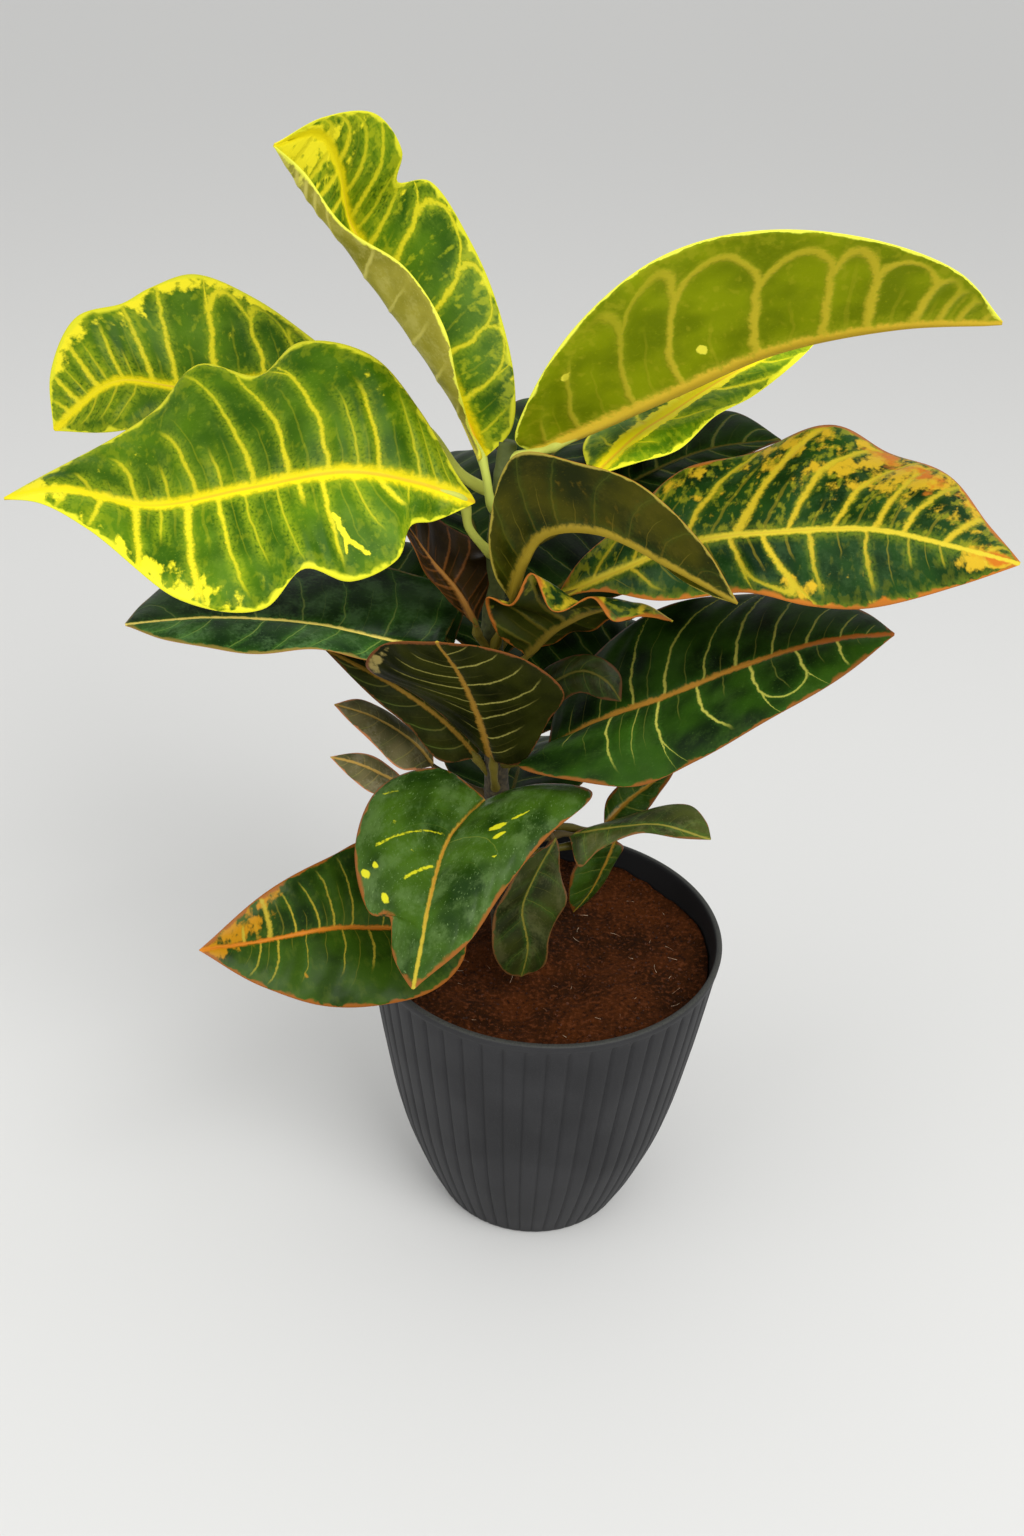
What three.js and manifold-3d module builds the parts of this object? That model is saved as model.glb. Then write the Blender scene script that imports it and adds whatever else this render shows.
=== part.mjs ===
// Potted croton: a broad-leaved, variegated house plant in a ribbed plastic pot.
// Millimetres, +Z up. The origin is the middle of the pot's flat bottom, and -Y is the front.
import * as THREE from 'three';
import { mergeVertices } from 'three/addons/utils/BufferGeometryUtils.js';
import Module from 'manifold-3d';

const wasm = await Module();
wasm.setup();

// Driving dimensions
const GAP = 0.3; // clear space between neighbouring pieces
const RIM_RADIUS = 75; // a pot 150 across at its rim
const POT_HEIGHT = 137;
const BASE_RADIUS = 43.5;
const WALL = 2.4;
const FLOOR = 4;
const LIP_DEPTH = 3; // the plain band over the ribs
const RIB_COUNT = 54;
const RIB_DEPTH = 0.9; // from a rib's crest to its groove
const SOIL_TOP = 125; // 12 below the rim
const SOIL_MOUND = 1.6; // how much the soil rises and dips
const STEM_RADIUS_LOW = 6;
const STEM_RADIUS_HIGH = 3.4;
const BLADE = 0.9; // leaf thickness
const PETIOLE_RADIUS = 1.7;
const PETIOLE_SIDES = 5;

const point = ([x, y, z]) => new THREE.Vector3(x, y, z);
const spline = (points) => new THREE.CatmullRomCurve3(points.map(point), false, 'centripetal');

// The bowl-shaped side of the pot, from the foot to the rim: height, radius
const POT_SIDE = new THREE.SplineCurve([
  new THREE.Vector2(0, BASE_RADIUS),
  new THREE.Vector2(0.12 * POT_HEIGHT, 50.6),
  new THREE.Vector2(0.35 * POT_HEIGHT, 60.7),
  new THREE.Vector2(0.65 * POT_HEIGHT, 68.3),
  new THREE.Vector2(POT_HEIGHT, RIM_RADIUS),
]);

function potRadius(z) {
  let low = 0;
  let high = 1;
  for (let step = 0; step < 30; step += 1) {
    const middle = (low + high) / 2;
    if (POT_SIDE.getPoint(middle).x < z) low = middle;
    else high = middle;
  }
  return POT_SIDE.getPoint((low + high) / 2).y;
}

// Solids and meshes
function solidOf(geometry) {
  const bare = geometry.clone();
  bare.deleteAttribute('normal');
  bare.deleteAttribute('uv');
  const merged = mergeVertices(bare, 1e-4);
  return new wasm.Manifold(new wasm.Mesh({
    numProp: 3,
    vertProperties: Float32Array.from(merged.attributes.position.array),
    triVerts: Uint32Array.from(merged.index.array),
  }));
}

function geometryOf(solid) {
  const mesh = solid.getMesh();
  const geometry = new THREE.BufferGeometry();
  geometry.setAttribute('position', new THREE.BufferAttribute(Float32Array.from(mesh.vertProperties), 3));
  geometry.setIndex(Array.from(mesh.triVerts));
  geometry.computeVertexNormals();
  return geometry;
}

// The largest body of a solid, without the loose scraps that a cut can leave
function mainBody(solid) {
  const bodies = solid.decompose();
  return bodies.reduce((best, body) => (body.volume() > best.volume() ? body : best));
}

// A closed tube along a curve, with its radius given by a function of the way along it
function tube(curve, radiusAt, steps, sides) {
  const frames = curve.computeFrenetFrames(steps, false);
  const positions = [];
  const faces = [];
  for (let i = 0; i <= steps; i += 1) {
    const centre = curve.getPointAt(i / steps);
    for (let j = 0; j < sides; j += 1) {
      const angle = (2 * Math.PI * j) / sides;
      const p = centre.clone()
        .addScaledVector(frames.normals[i], radiusAt(i / steps) * Math.cos(angle))
        .addScaledVector(frames.binormals[i], radiusAt(i / steps) * Math.sin(angle));
      positions.push(p.x, p.y, p.z);
    }
  }
  for (let i = 0; i < steps; i += 1) {
    for (let j = 0; j < sides; j += 1) {
      const a = i * sides + j;
      const b = i * sides + ((j + 1) % sides);
      faces.push(a, b, b + sides, a, b + sides, a + sides);
    }
  }
  const last = steps * sides;
  for (let j = 1; j < sides - 1; j += 1) {
    faces.push(0, j + 1, j, last, last + j, last + j + 1);
  }
  const geometry = new THREE.BufferGeometry();
  geometry.setAttribute('position', new THREE.Float32BufferAttribute(positions, 3));
  geometry.setIndex(faces);
  return geometry;
}

// A turned solid: the profile lists radius and height, from the axis round to the axis
function turned(profile, columns) {
  const geometry = new THREE.LatheGeometry(profile.map(([r, z]) => new THREE.Vector2(r, z)), columns);
  return geometry.rotateX(Math.PI / 2);
}

// Pot: a turned bowl, pushed in between its upright ribs and hollowed out
function potSolid() {
  const ribbed = [7, 28, 60, 98, POT_HEIGHT - LIP_DEPTH - 2];
  const lipFoot = POT_HEIGHT - LIP_DEPTH;
  const outside = [
    [0, 0], [BASE_RADIUS, 0], ...ribbed.map((z) => [potRadius(z), z]),
    [potRadius(lipFoot), lipFoot], [RIM_RADIUS, POT_HEIGHT], [0, POT_HEIGHT],
  ];
  const bowl = turned(outside, RIB_COUNT * 2);
  const at = bowl.attributes.position;
  for (let i = 0; i < at.count; i += 1) {
    const row = i % outside.length;
    const column = Math.floor(i / outside.length);
    if (row >= 2 && row < 2 + ribbed.length && column % 2 === 1) {
      const scale = 1 - RIB_DEPTH / Math.hypot(at.getX(i), at.getY(i));
      at.setXY(i, at.getX(i) * scale, at.getY(i) * scale);
    }
  }
  const top = POT_HEIGHT + 5;
  const inside = [FLOOR, 24, 58, 98].map((z) => [potRadius(z) - WALL, z]);
  const hollow = [[0, FLOOR], ...inside, [RIM_RADIUS - WALL, POT_HEIGHT], [RIM_RADIUS - WALL, top], [0, top]];
  return solidOf(bowl).subtract(solidOf(turned(hollow, 36)));
}

// Soil: fills the pot from its floor to a slightly uneven top
function soilGeometry() {
  const clear = WALL + 2 * GAP;
  const bottom = FLOOR + GAP;
  const side = [bottom, 24, 58, 98, SOIL_TOP].map((z) => [potRadius(z) - clear, z]);
  const topRow = side.length + 1;
  const profile = [[0, bottom], ...side, [50, SOIL_TOP], [30, SOIL_TOP], [0, SOIL_TOP]];
  const geometry = turned(profile, 36);
  const at = geometry.attributes.position;
  for (let i = 0; i < at.count; i += 1) {
    if (i % profile.length >= topRow) {
      const x = at.getX(i);
      const y = at.getY(i);
      const rise = Math.cos(x / 13 + 0.8) * Math.cos(y / 17 - 0.5) + 0.4 * Math.sin(x / 6) * Math.cos(y / 7);
      at.setZ(i, SOIL_TOP + SOIL_MOUND * rise);
    }
  }
  return geometry;
}

// Stem: one woody stem, a little bent, from inside the soil to the newest leaves
const STEM_PATH = [
  [-14, 4, 84], [-15, 4, 110], [-17, 3, 135], [-21, 1, 175],
  [-23, 0, 220], [-26, 0, 270], [-25, 1, 315], [-23, 2, 345],
];
const stemCurve = spline(STEM_PATH);
const stemRadius = (s) => THREE.MathUtils.lerp(STEM_RADIUS_LOW, STEM_RADIUS_HIGH, s);

function stemGeometry(extra, steps, sides) {
  return tube(stemCurve, (s) => stemRadius(s) + extra, steps, sides);
}

// Leaves
// Each is three curves from the blade's base to its tip: the rib and the two margins, seen with
// the upper face towards the reader and the tip up. A fold is the crest that a rolled half passes
// over. The petiole runs from its root, a height on the stem, through its points to the blade.
// Swell lifts each half between rib and margin, and wave is the count, height and phase of the
// margin's ripples.
const BRIGHT = 0x6f9a1e;
const GOLD = 0x9a8a24;
const DEEP = 0x24501c;
const OLIVE = 0x5b5a1c;
const DUSKY = 0x4a4034;

const LEAVES = [
  {
    name: 'leaf_tall', colour: BRIGHT, rows: 14, cells: 3, swell: 0.04, wave: [2, 1, 0.5],
    root: 318,
    petiole: [[-28, -2, 324], [-30, -1, 333]],
    rib: [
      [-31, 0, 339], [-39, 6, 353], [-52, 14, 374], [-66, 20, 392],
      [-80, 22, 411], [-83, 18, 429], [-88, 11, 440], [-101, 2, 437],
    ],
    left: [
      [-31, 0, 339], [-36, -4, 350], [-39, -14, 367], [-43, -18, 387],
      [-58, -10, 403], [-79, 2, 414], [-92, 5, 429], [-101, 2, 437],
    ],
    leftFold: [
      [-31, 0, 339], [-38, 0, 351], [-47, -4, 367], [-60, 0, 384],
      [-75, 8, 400], [-86, 12, 413], [-95, 10, 426], [-101, 2, 437],
    ],
    right: [
      [-31, 0, 339], [-22, 2, 349], [-22, 12, 364], [-30, 24, 388], [-40, 30, 406],
      [-54, 28, 425], [-64, 22, 425], [-62, 18, 435], [-70, 14, 446], [-86, 9, 445], [-101, 2, 437],
    ],
  },
  {
    name: 'leaf_left_back', colour: BRIGHT, rows: 12, cells: 3, swell: 0.06, wave: [3, 1.2, 0],
    root: 325,
    petiole: [[-39, 10, 329], [-53, 20, 342]],
    rib: [[-76, 32, 353], [-110, 38, 352], [-145, 36, 348], [-169, 28, 351], [-189, 14, 336]],
    left: [
      [-76, 32, 353], [-101, 30, 345], [-131, 26, 338], [-154, 22, 337], [-169, 16, 336], [-189, 14, 336],
    ],
    right: [
      [-76, 32, 353], [-97, 48, 364], [-122, 56, 377], [-145, 56, 385], [-159, 48, 381],
      [-168, 42, 376], [-183, 34, 372], [-191, 24, 355], [-189, 14, 336],
    ],
  },
  {
    name: 'leaf_left_front', colour: BRIGHT, rows: 16, cells: 3, swell: 0.05, wave: [3, 1, 1],
    root: 303,
    petiole: [[-28, -6, 307], [-35, -10, 317], [-36, -12, 324]],
    rib: [
      [-32, -14, 328], [-53, -20, 336], [-75, -28, 341], [-106, -38, 337],
      [-137, -46, 332], [-163, -55, 339], [-180, -60, 337],
    ],
    left: [
      [-32, -14, 328], [-46, -24, 324], [-53, -32, 325], [-56, -42, 317], [-71, -50, 311], [-85, -56, 317],
      [-97, -66, 307], [-123, -70, 310], [-151, -66, 331], [-167, -62, 337], [-180, -60, 337],
    ],
    right: [
      [-32, -14, 328], [-39, -10, 335], [-53, -2, 355], [-71, 2, 372], [-95, 0, 376], [-108, -6, 366],
      [-127, -10, 369], [-140, -18, 356], [-150, -26, 350], [-166, -44, 343], [-180, -60, 337],
    ],
  },
  {
    name: 'leaf_right_arch', colour: OLIVE, rows: 14, cells: 3, swell: 0.03, wave: [2, 0.6, 0],
    root: 338,
    petiole: [[-18, 0, 341]],
    rib: [[-15, 2, 342], [3, 5, 349], [33, 8, 363], [66, 6, 380], [103, -4, 392], [134, -14, 397]],
    left: [[-15, 2, 342], [5, 30, 347], [38, 46, 362], [72, 46, 381], [108, 24, 398], [134, -14, 397]],
    right: [
      [-15, 2, 342], [-20, -6, 348], [-16, -10, 363], [-2, -14, 389], [21, -18, 411],
      [49, -20, 421], [84, -22, 422], [115, -20, 413], [134, -14, 397],
    ],
  },
  {
    name: 'leaf_right_bright', colour: BRIGHT, rows: 12, cells: 2, swell: 0.05, wave: [2, 1, 2],
    root: 318,
    petiole: [[-11, 10, 321], [2, 14, 326]],
    rib: [[7, 16, 329], [23, 28, 342], [35, 40, 347], [55, 58, 356], [77, 72, 365], [96, 80, 373]],
    left: [[7, 16, 329], [4, 36, 336], [19, 56, 345], [43, 78, 361], [70, 90, 372], [96, 80, 373]],
    right: [
      [7, 16, 329], [24, 16, 336], [38, 22, 339], [52, 36, 348], [67, 50, 354], [84, 66, 363], [96, 80, 373],
    ],
  },
  {
    name: 'leaf_back_right', colour: DEEP, rows: 10, cells: 2, swell: 0.05, wave: [2, 1, 1],
    root: 298,
    petiole: [[-10, 16, 304]],
    rib: [[0, 22, 310], [26, 42, 321], [53, 60, 328], [81, 64, 332]],
    left: [[0, 22, 310], [11, 50, 321], [42, 80, 333], [62, 84, 337], [81, 64, 332]],
    right: [[0, 22, 310], [26, 28, 317], [49, 42, 322], [66, 54, 328], [81, 64, 332]],
  },
  {
    name: 'leaf_right_blotched', colour: GOLD, rows: 14, cells: 3, swell: 0.06, wave: [4, 1.6, 0.6],
    root: 276,
    petiole: [[-13, -8, 286]],
    rib: [
      [-3, -12, 293], [16, -18, 306], [44, -26, 323], [72, -34, 331],
      [98, -44, 337], [119, -54, 337], [141, -62, 335],
    ],
    left: [
      [-3, -12, 293], [5, -8, 306], [20, -4, 321], [40, 2, 338], [65, 4, 347],
      [90, 2, 356], [106, -6, 352], [124, -26, 349], [134, -46, 341], [141, -62, 335],
    ],
    right: [
      [-3, -12, 293], [12, -20, 300], [33, -30, 302], [60, -40, 311],
      [81, -48, 311], [99, -54, 314], [124, -60, 326], [141, -62, 335],
    ],
  },
  {
    name: 'leaf_centre_curl', colour: OLIVE, rows: 12, cells: 3, swell: 0.04, wave: [2, 0.6, 0],
    root: 265,
    petiole: [[-22, -10, 279]],
    rib: [[-19, -16, 293], [-15, -22, 310], [-8, -28, 323], [10, -38, 329], [35, -46, 321], [57, -52, 312]],
    left: [
      [-19, -16, 293], [-14, -10, 306], [-5, -10, 321], [12, -18, 329],
      [32, -34, 317], [48, -48, 313], [57, -52, 312],
    ],
    right: [
      [-19, -16, 293], [-25, -20, 304], [-27, -24, 322], [-19, -28, 350],
      [1, -36, 351], [22, -42, 347], [43, -48, 331], [57, -52, 312],
    ],
  },
  {
    name: 'leaf_centre_ruffled', colour: DEEP, rows: 12, cells: 2, swell: 0.05, wave: [4, 1.2, 0],
    root: 250,
    petiole: [[-19, -8, 260]],
    rib: [[-13, -12, 270], [-2, -17, 284], [13, -21, 294], [27, -22, 297], [39, -22, 291]],
    left: [[-13, -12, 270], [-1, -4, 273], [17, -6, 282], [29, -14, 289], [39, -22, 291]],
    right: [
      [-13, -12, 270], [-23, -21, 282], [-27, -26, 297], [-19, -29, 297], [-12, -29, 309],
      [-4, -32, 297], [9, -30, 302], [17, -32, 294], [27, -28, 295], [39, -22, 291],
    ],
  },
  {
    name: 'leaf_left_brown', colour: DUSKY, rows: 10, cells: 2, swell: 0.04, wave: [2, 0.8, 0],
    root: 264,
    petiole: [[-31, -8, 275]],
    rib: [[-32, -9, 279], [-39, -12, 293], [-49, -14, 306], [-59, -14, 321]],
    left: [[-32, -9, 279], [-28, -4, 291], [-28, 2, 303], [-41, 6, 310], [-53, 0, 319], [-59, -14, 321]],
    right: [[-32, -9, 279], [-42, -14, 291], [-49, -20, 304], [-55, -22, 316], [-59, -14, 321]],
  },
  {
    name: 'leaf_left_dark', colour: DEEP, rows: 12, cells: 2, swell: 0.06, wave: [3, 1, 0],
    root: 244,
    petiole: [[-31, -2, 256], [-38, -4, 264]],
    rib: [[-45, -6, 267], [-61, -8, 270], [-91, -12, 277], [-126, -18, 280], [-157, -26, 279]],
    left: [
      [-45, -6, 267], [-58, -20, 268], [-86, -30, 275],
      [-119, -34, 275], [-140, -32, 277], [-157, -26, 279],
    ],
    right: [
      [-45, -6, 267], [-40, 10, 282], [-65, 22, 286], [-111, 26, 286],
      [-143, 14, 285], [-154, -8, 281], [-157, -26, 279],
    ],
  },
  {
    name: 'leaf_right_dark', colour: DEEP, rows: 14, cells: 3, swell: 0.06, wave: [3, 1, 0],
    root: 216,
    petiole: [[-12, -8, 222]],
    rib: [[-3, -10, 229], [16, -14, 245], [40, -16, 258], [68, -18, 274], [95, -20, 286], [117, -22, 291]],
    left: [
      [-3, -10, 229], [1, 6, 242], [19, 20, 263], [49, 26, 279],
      [81, 18, 287], [107, -4, 292], [117, -22, 291],
    ],
    right: [
      [-3, -10, 229], [-13, -22, 228], [6, -36, 232], [31, -42, 234],
      [50, -44, 248], [79, -42, 268], [101, -34, 282], [117, -22, 291],
    ],
  },
  {
    name: 'leaf_centre_cupped', colour: OLIVE, rows: 12, cells: 3, swell: 0.04, wave: [2, 0.6, 0],
    root: 203,
    petiole: [[-23, -8, 213]],
    rib: [[-24, -11, 223], [-29, -22, 248], [-35, -36, 272], [-42, -50, 291]],
    left: [
      [-24, -11, 223], [-40, -14, 241], [-56, -24, 259], [-68, -38, 275], [-60, -46, 287], [-42, -50, 291],
    ],
    right: [
      [-24, -11, 223], [-13, -18, 227], [-3, -26, 250], [2, -36, 268],
      [-10, -46, 283], [-27, -50, 290], [-42, -50, 291],
    ],
  },
  {
    name: 'leaf_left_inner', colour: OLIVE, rows: 10, cells: 2, swell: 0.04, wave: [2, 0.6, 0],
    root: 206,
    petiole: [[-27, -2, 214]],
    rib: [[-30, -2, 219], [-42, -4, 234], [-60, -6, 249], [-89, -8, 266]],
    left: [[-30, -2, 219], [-44, -8, 220], [-56, -10, 235], [-70, -10, 247], [-89, -8, 266]],
    right: [[-30, -2, 219], [-31, 14, 232], [-48, 22, 244], [-70, 14, 260], [-89, -8, 266]],
  },
  {
    name: 'leaf_front_low', colour: DEEP, rows: 14, cells: 3, swell: 0.08, wave: [2, 0.8, 0],
    root: 195,
    petiole: [[-23, -12, 205]],
    rib: [[-25, -20, 211], [-37, -44, 208], [-41, -74, 201], [-42, -92, 195], [-43, -108, 188]],
    left: [
      [-25, -20, 211], [-5, -20, 219], [15, -26, 221], [0, -46, 214],
      [-16, -68, 201], [-26, -86, 193], [-40, -104, 189], [-43, -108, 188],
    ],
    right: [
      [-25, -20, 211], [-44, -14, 220], [-65, -26, 218], [-71, -52, 206], [-62, -76, 195],
      [-55, -80, 198], [-52, -92, 190], [-45, -105, 188], [-43, -108, 188],
    ],
  },
  {
    name: 'leaf_left_low', colour: DEEP, rows: 12, cells: 3, swell: 0.06, wave: [3, 1, 0],
    root: 170,
    petiole: [[-27, -16, 166]],
    rib: [[-32, -24, 163], [-56, -38, 161], [-80, -52, 169], [-108, -68, 172], [-125, -78, 175]],
    left: [
      [-32, -24, 163], [-31, -44, 151], [-46, -64, 148],
      [-78, -76, 151], [-101, -80, 161], [-125, -78, 175],
    ],
    right: [
      [-32, -24, 163], [-43, -12, 181], [-70, -22, 191],
      [-83, -34, 190], [-102, -54, 188], [-125, -78, 175],
    ],
  },
  {
    name: 'leaf_soil_hanging', colour: DUSKY, rows: 10, cells: 2, swell: 0.06, wave: [3, 0.8, 0],
    root: 180,
    petiole: [[-8, -14, 192], [0, -18, 196]],
    rib: [[3, -19, 195], [-4, -26, 183], [-9, -31, 169], [-6, -33, 152], [-8, -34, 137]],
    left: [[3, -19, 195], [6, -16, 173], [8, -20, 166], [2, -28, 152], [1, -31, 141], [-8, -34, 137]],
    right: [
      [3, -19, 195], [-11, -32, 188], [-18, -38, 175],
      [-20, -38, 154], [-14, -36, 140], [-8, -34, 137],
    ],
  },
  {
    name: 'leaf_right_small', colour: DUSKY, rows: 8, cells: 2, swell: 0.05, wave: [2, 0.6, 0],
    root: 180,
    petiole: [[-4, 4, 179], [5, 10, 178]],
    rib: [[8, 12, 177], [30, 20, 177], [47, 26, 175], [69, 28, 168]],
    left: [[8, 12, 177], [21, 22, 176], [38, 34, 176], [60, 40, 177], [67, 36, 172], [69, 28, 168]],
    right: [[8, 12, 177], [13, 4, 166], [21, 10, 171], [38, 20, 174], [56, 26, 169], [69, 28, 168]],
  },
  {
    name: 'leaf_right_low_back', colour: DUSKY, rows: 8, cells: 2, swell: 0.05, wave: [2, 0.6, 0],
    root: 183,
    petiole: [[4, 20, 175], [17, 30, 168]],
    rib: [[23, 34, 168], [34, 44, 176], [45, 52, 182], [55, 60, 194]],
    left: [[23, 34, 168], [24, 44, 175], [33, 54, 182], [44, 62, 190], [55, 60, 194]],
    right: [[23, 34, 168], [39, 38, 172], [47, 46, 179], [53, 54, 187], [55, 60, 194]],
  },
  {
    name: 'leaf_right_low_front', colour: DEEP, rows: 8, cells: 2, swell: 0.05, wave: [2, 0.6, 0],
    root: 167,
    petiole: [[-2, 10, 169], [20, 18, 170]],
    rib: [[28, 22, 169], [24, 22, 155], [19, 20, 143], [12, 16, 134]],
    left: [[28, 22, 169], [32, 30, 159], [25, 30, 142], [19, 24, 135], [12, 16, 134]],
    right: [[28, 22, 169], [17, 14, 167], [10, 10, 159], [10, 10, 145], [12, 16, 134]],
  },
  {
    name: 'leaf_centre_small', colour: DEEP, rows: 8, cells: 2, swell: 0.05, wave: [2, 0.5, 0],
    root: 229,
    petiole: [[-18, -9, 238]],
    rib: [[-11, -13, 248], [-2, -16, 261], [9, -19, 268], [17, -22, 266], [23, -24, 259]],
    left: [[-11, -13, 248], [-7, -9, 261], [3, -12, 270], [14, -17, 273], [22, -20, 268], [23, -24, 259]],
    right: [[-11, -13, 248], [-3, -20, 252], [8, -23, 261], [16, -25, 260], [23, -24, 259]],
  },
  {
    name: 'leaf_left_pink_high', colour: DUSKY, rows: 8, cells: 2, swell: 0.05, wave: [2, 0.6, 0],
    root: 199,
    petiole: [[-37, 6, 202]],
    rib: [[-48, 8, 208], [-58, 12, 217], [-73, 16, 224], [-90, 18, 228]],
    left: [[-48, 8, 208], [-60, 2, 209], [-71, 6, 216], [-85, 14, 225], [-90, 18, 228]],
    right: [[-48, 8, 208], [-51, 14, 216], [-64, 22, 220], [-80, 24, 228], [-90, 18, 228]],
  },
  {
    name: 'leaf_left_pink_low', colour: DUSKY, rows: 8, cells: 2, swell: 0.05, wave: [2, 0.6, 0],
    root: 185,
    petiole: [[-46, 10, 188]],
    rib: [[-58, 12, 193], [-69, 16, 197], [-82, 20, 200], [-93, 22, 201]],
    left: [[-58, 12, 193], [-73, 10, 192], [-84, 17, 195], [-93, 22, 201]],
    right: [[-58, 12, 193], [-66, 20, 198], [-81, 25, 202], [-93, 22, 201]],
  },
];

// Leaves at the back, by rule: the height on the stem, the heading (0 is +X, 90 is the back),
// the lengths of petiole and blade, the half width, the rise at the stem and the droop
// over the blade's length
const BACK_LEAVES = [
  { name: 'leaf_rear_top', z: 312, heading: 66, stalk: 22, length: 94, half: 29, rise: 22, droop: 52 },
  { name: 'leaf_rear_left_up', z: 287, heading: 108, stalk: 24, length: 102, half: 28, rise: 22, droop: 48 },
  { name: 'leaf_rear_right_mid', z: 264, heading: 56, stalk: 22, length: 110, half: 40, rise: 18, droop: 44 },
  { name: 'leaf_rear_left_mid', z: 250, heading: 138, stalk: 24, length: 98, half: 28, rise: 20, droop: 36 },
  { name: 'leaf_rear_middle', z: 236, heading: 98, stalk: 26, length: 112, half: 31, rise: 22, droop: 50 },
  { name: 'leaf_rear_low', z: 205, heading: 70, stalk: 24, length: 98, half: 28, rise: 20, droop: 48 },
  { name: 'leaf_rear_right_low', z: 224, heading: 46, stalk: 20, length: 84, half: 27, rise: 26, droop: 44 },
  { name: 'leaf_rear_base', z: 172, heading: 84, stalk: 18, length: 84, half: 34, rise: 14, droop: 40 },
];

// Half width along a blade, as a share of its widest
const bladeWidth = (s) => Math.sin(Math.PI * s ** 0.85) ** 0.8;

function stemPointAt(z) {
  let best = stemCurve.getPoint(0);
  for (let i = 0; i <= 200; i += 1) {
    const p = stemCurve.getPoint(i / 200);
    if (Math.abs(p.z - z) < Math.abs(best.z - z)) best = p;
  }
  return best;
}

function backLeaf({ name, z, heading, stalk, length, half, rise, droop }) {
  const turn = THREE.MathUtils.degToRad(heading);
  const ahead = new THREE.Vector3(Math.cos(turn), Math.sin(turn), 0);
  const side = new THREE.Vector3(Math.sin(turn), -Math.cos(turn), 0);
  const up = new THREE.Vector3(0, 0, 1);
  const stations = 6;
  const at = stemPointAt(z);
  const rib = [];
  const left = [];
  const right = [];
  const first = THREE.MathUtils.degToRad(rise);
  const climb = ahead.clone().multiplyScalar(Math.cos(first)).addScaledVector(up, Math.sin(first));
  const foot = at.clone().addScaledVector(climb, stalk);
  const petiole = [at.clone().lerp(foot, 0.5).toArray()];
  const p = foot.clone();
  for (let i = 0; i <= stations; i += 1) {
    const s = i / stations;
    const slope = THREE.MathUtils.degToRad(rise - droop * s);
    const lift = new THREE.Vector3(0, 0, Math.cos(slope)).addScaledVector(ahead, -Math.sin(slope));
    const width = i === 0 || i === stations ? 0 : half * bladeWidth(s);
    rib.push(p.toArray());
    left.push(p.clone().addScaledVector(side, -width).addScaledVector(lift, width * 0.25).toArray());
    right.push(p.clone().addScaledVector(side, width).addScaledVector(lift, width * 0.25).toArray());
    p.addScaledVector(ahead, (length / stations) * Math.cos(slope));
    p.addScaledVector(up, (length / stations) * Math.sin(slope));
  }
  const looks = { colour: DEEP, rows: 10, cells: 2, swell: 0.06, wave: [2, 1, 0] };
  return { name, ...looks, root: z, petiole, rib, left, right };
}

// One cross line of a half blade, from the rib to the margin
function halfLine(rib, margin, crest, count) {
  const control = crest.clone().multiplyScalar(2).addScaledVector(rib, -0.5).addScaledVector(margin, -0.5);
  return new THREE.QuadraticBezierCurve3(rib, control, margin).getPoints(count);
}

// The blade's middle surface: a base point, rows of points from left to right, and a tip point
function bladeSurface(leaf) {
  const rib = spline(leaf.rib);
  const margins = [spline(leaf.left), spline(leaf.right)];
  const fold = leaf.leftFold ? spline(leaf.leftFold) : null;
  const [count, height, phase] = leaf.wave;
  const rows = [];
  for (let i = 1; i < leaf.rows; i += 1) {
    const s = i / leaf.rows;
    const centre = rib.getPointAt(s);
    const ahead = rib.getTangentAt(s);
    const halves = margins.map((curve, which) => {
      const margin = curve.getPointAt(s);
      const across = margin.clone().sub(centre);
      const normal = ahead.clone().cross(across).normalize().multiplyScalar(which === 0 ? 1 : -1);
      const ripple = height * Math.sin(2 * Math.PI * count * s + phase + which) * Math.sin(Math.PI * s);
      margin.addScaledVector(normal, ripple);
      const middle = centre.clone().add(margin).multiplyScalar(0.5);
      middle.addScaledVector(normal, leaf.swell * across.length());
      const crest = which === 0 && fold ? fold.getPointAt(s) : middle;
      return halfLine(centre, margin, crest, leaf.cells);
    });
    rows.push([...halves[0].reverse(), ...halves[1].slice(1)]);
  }
  return { base: point(leaf.rib[0]), rows, tip: point(leaf.rib[leaf.rib.length - 1]) };
}

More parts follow.
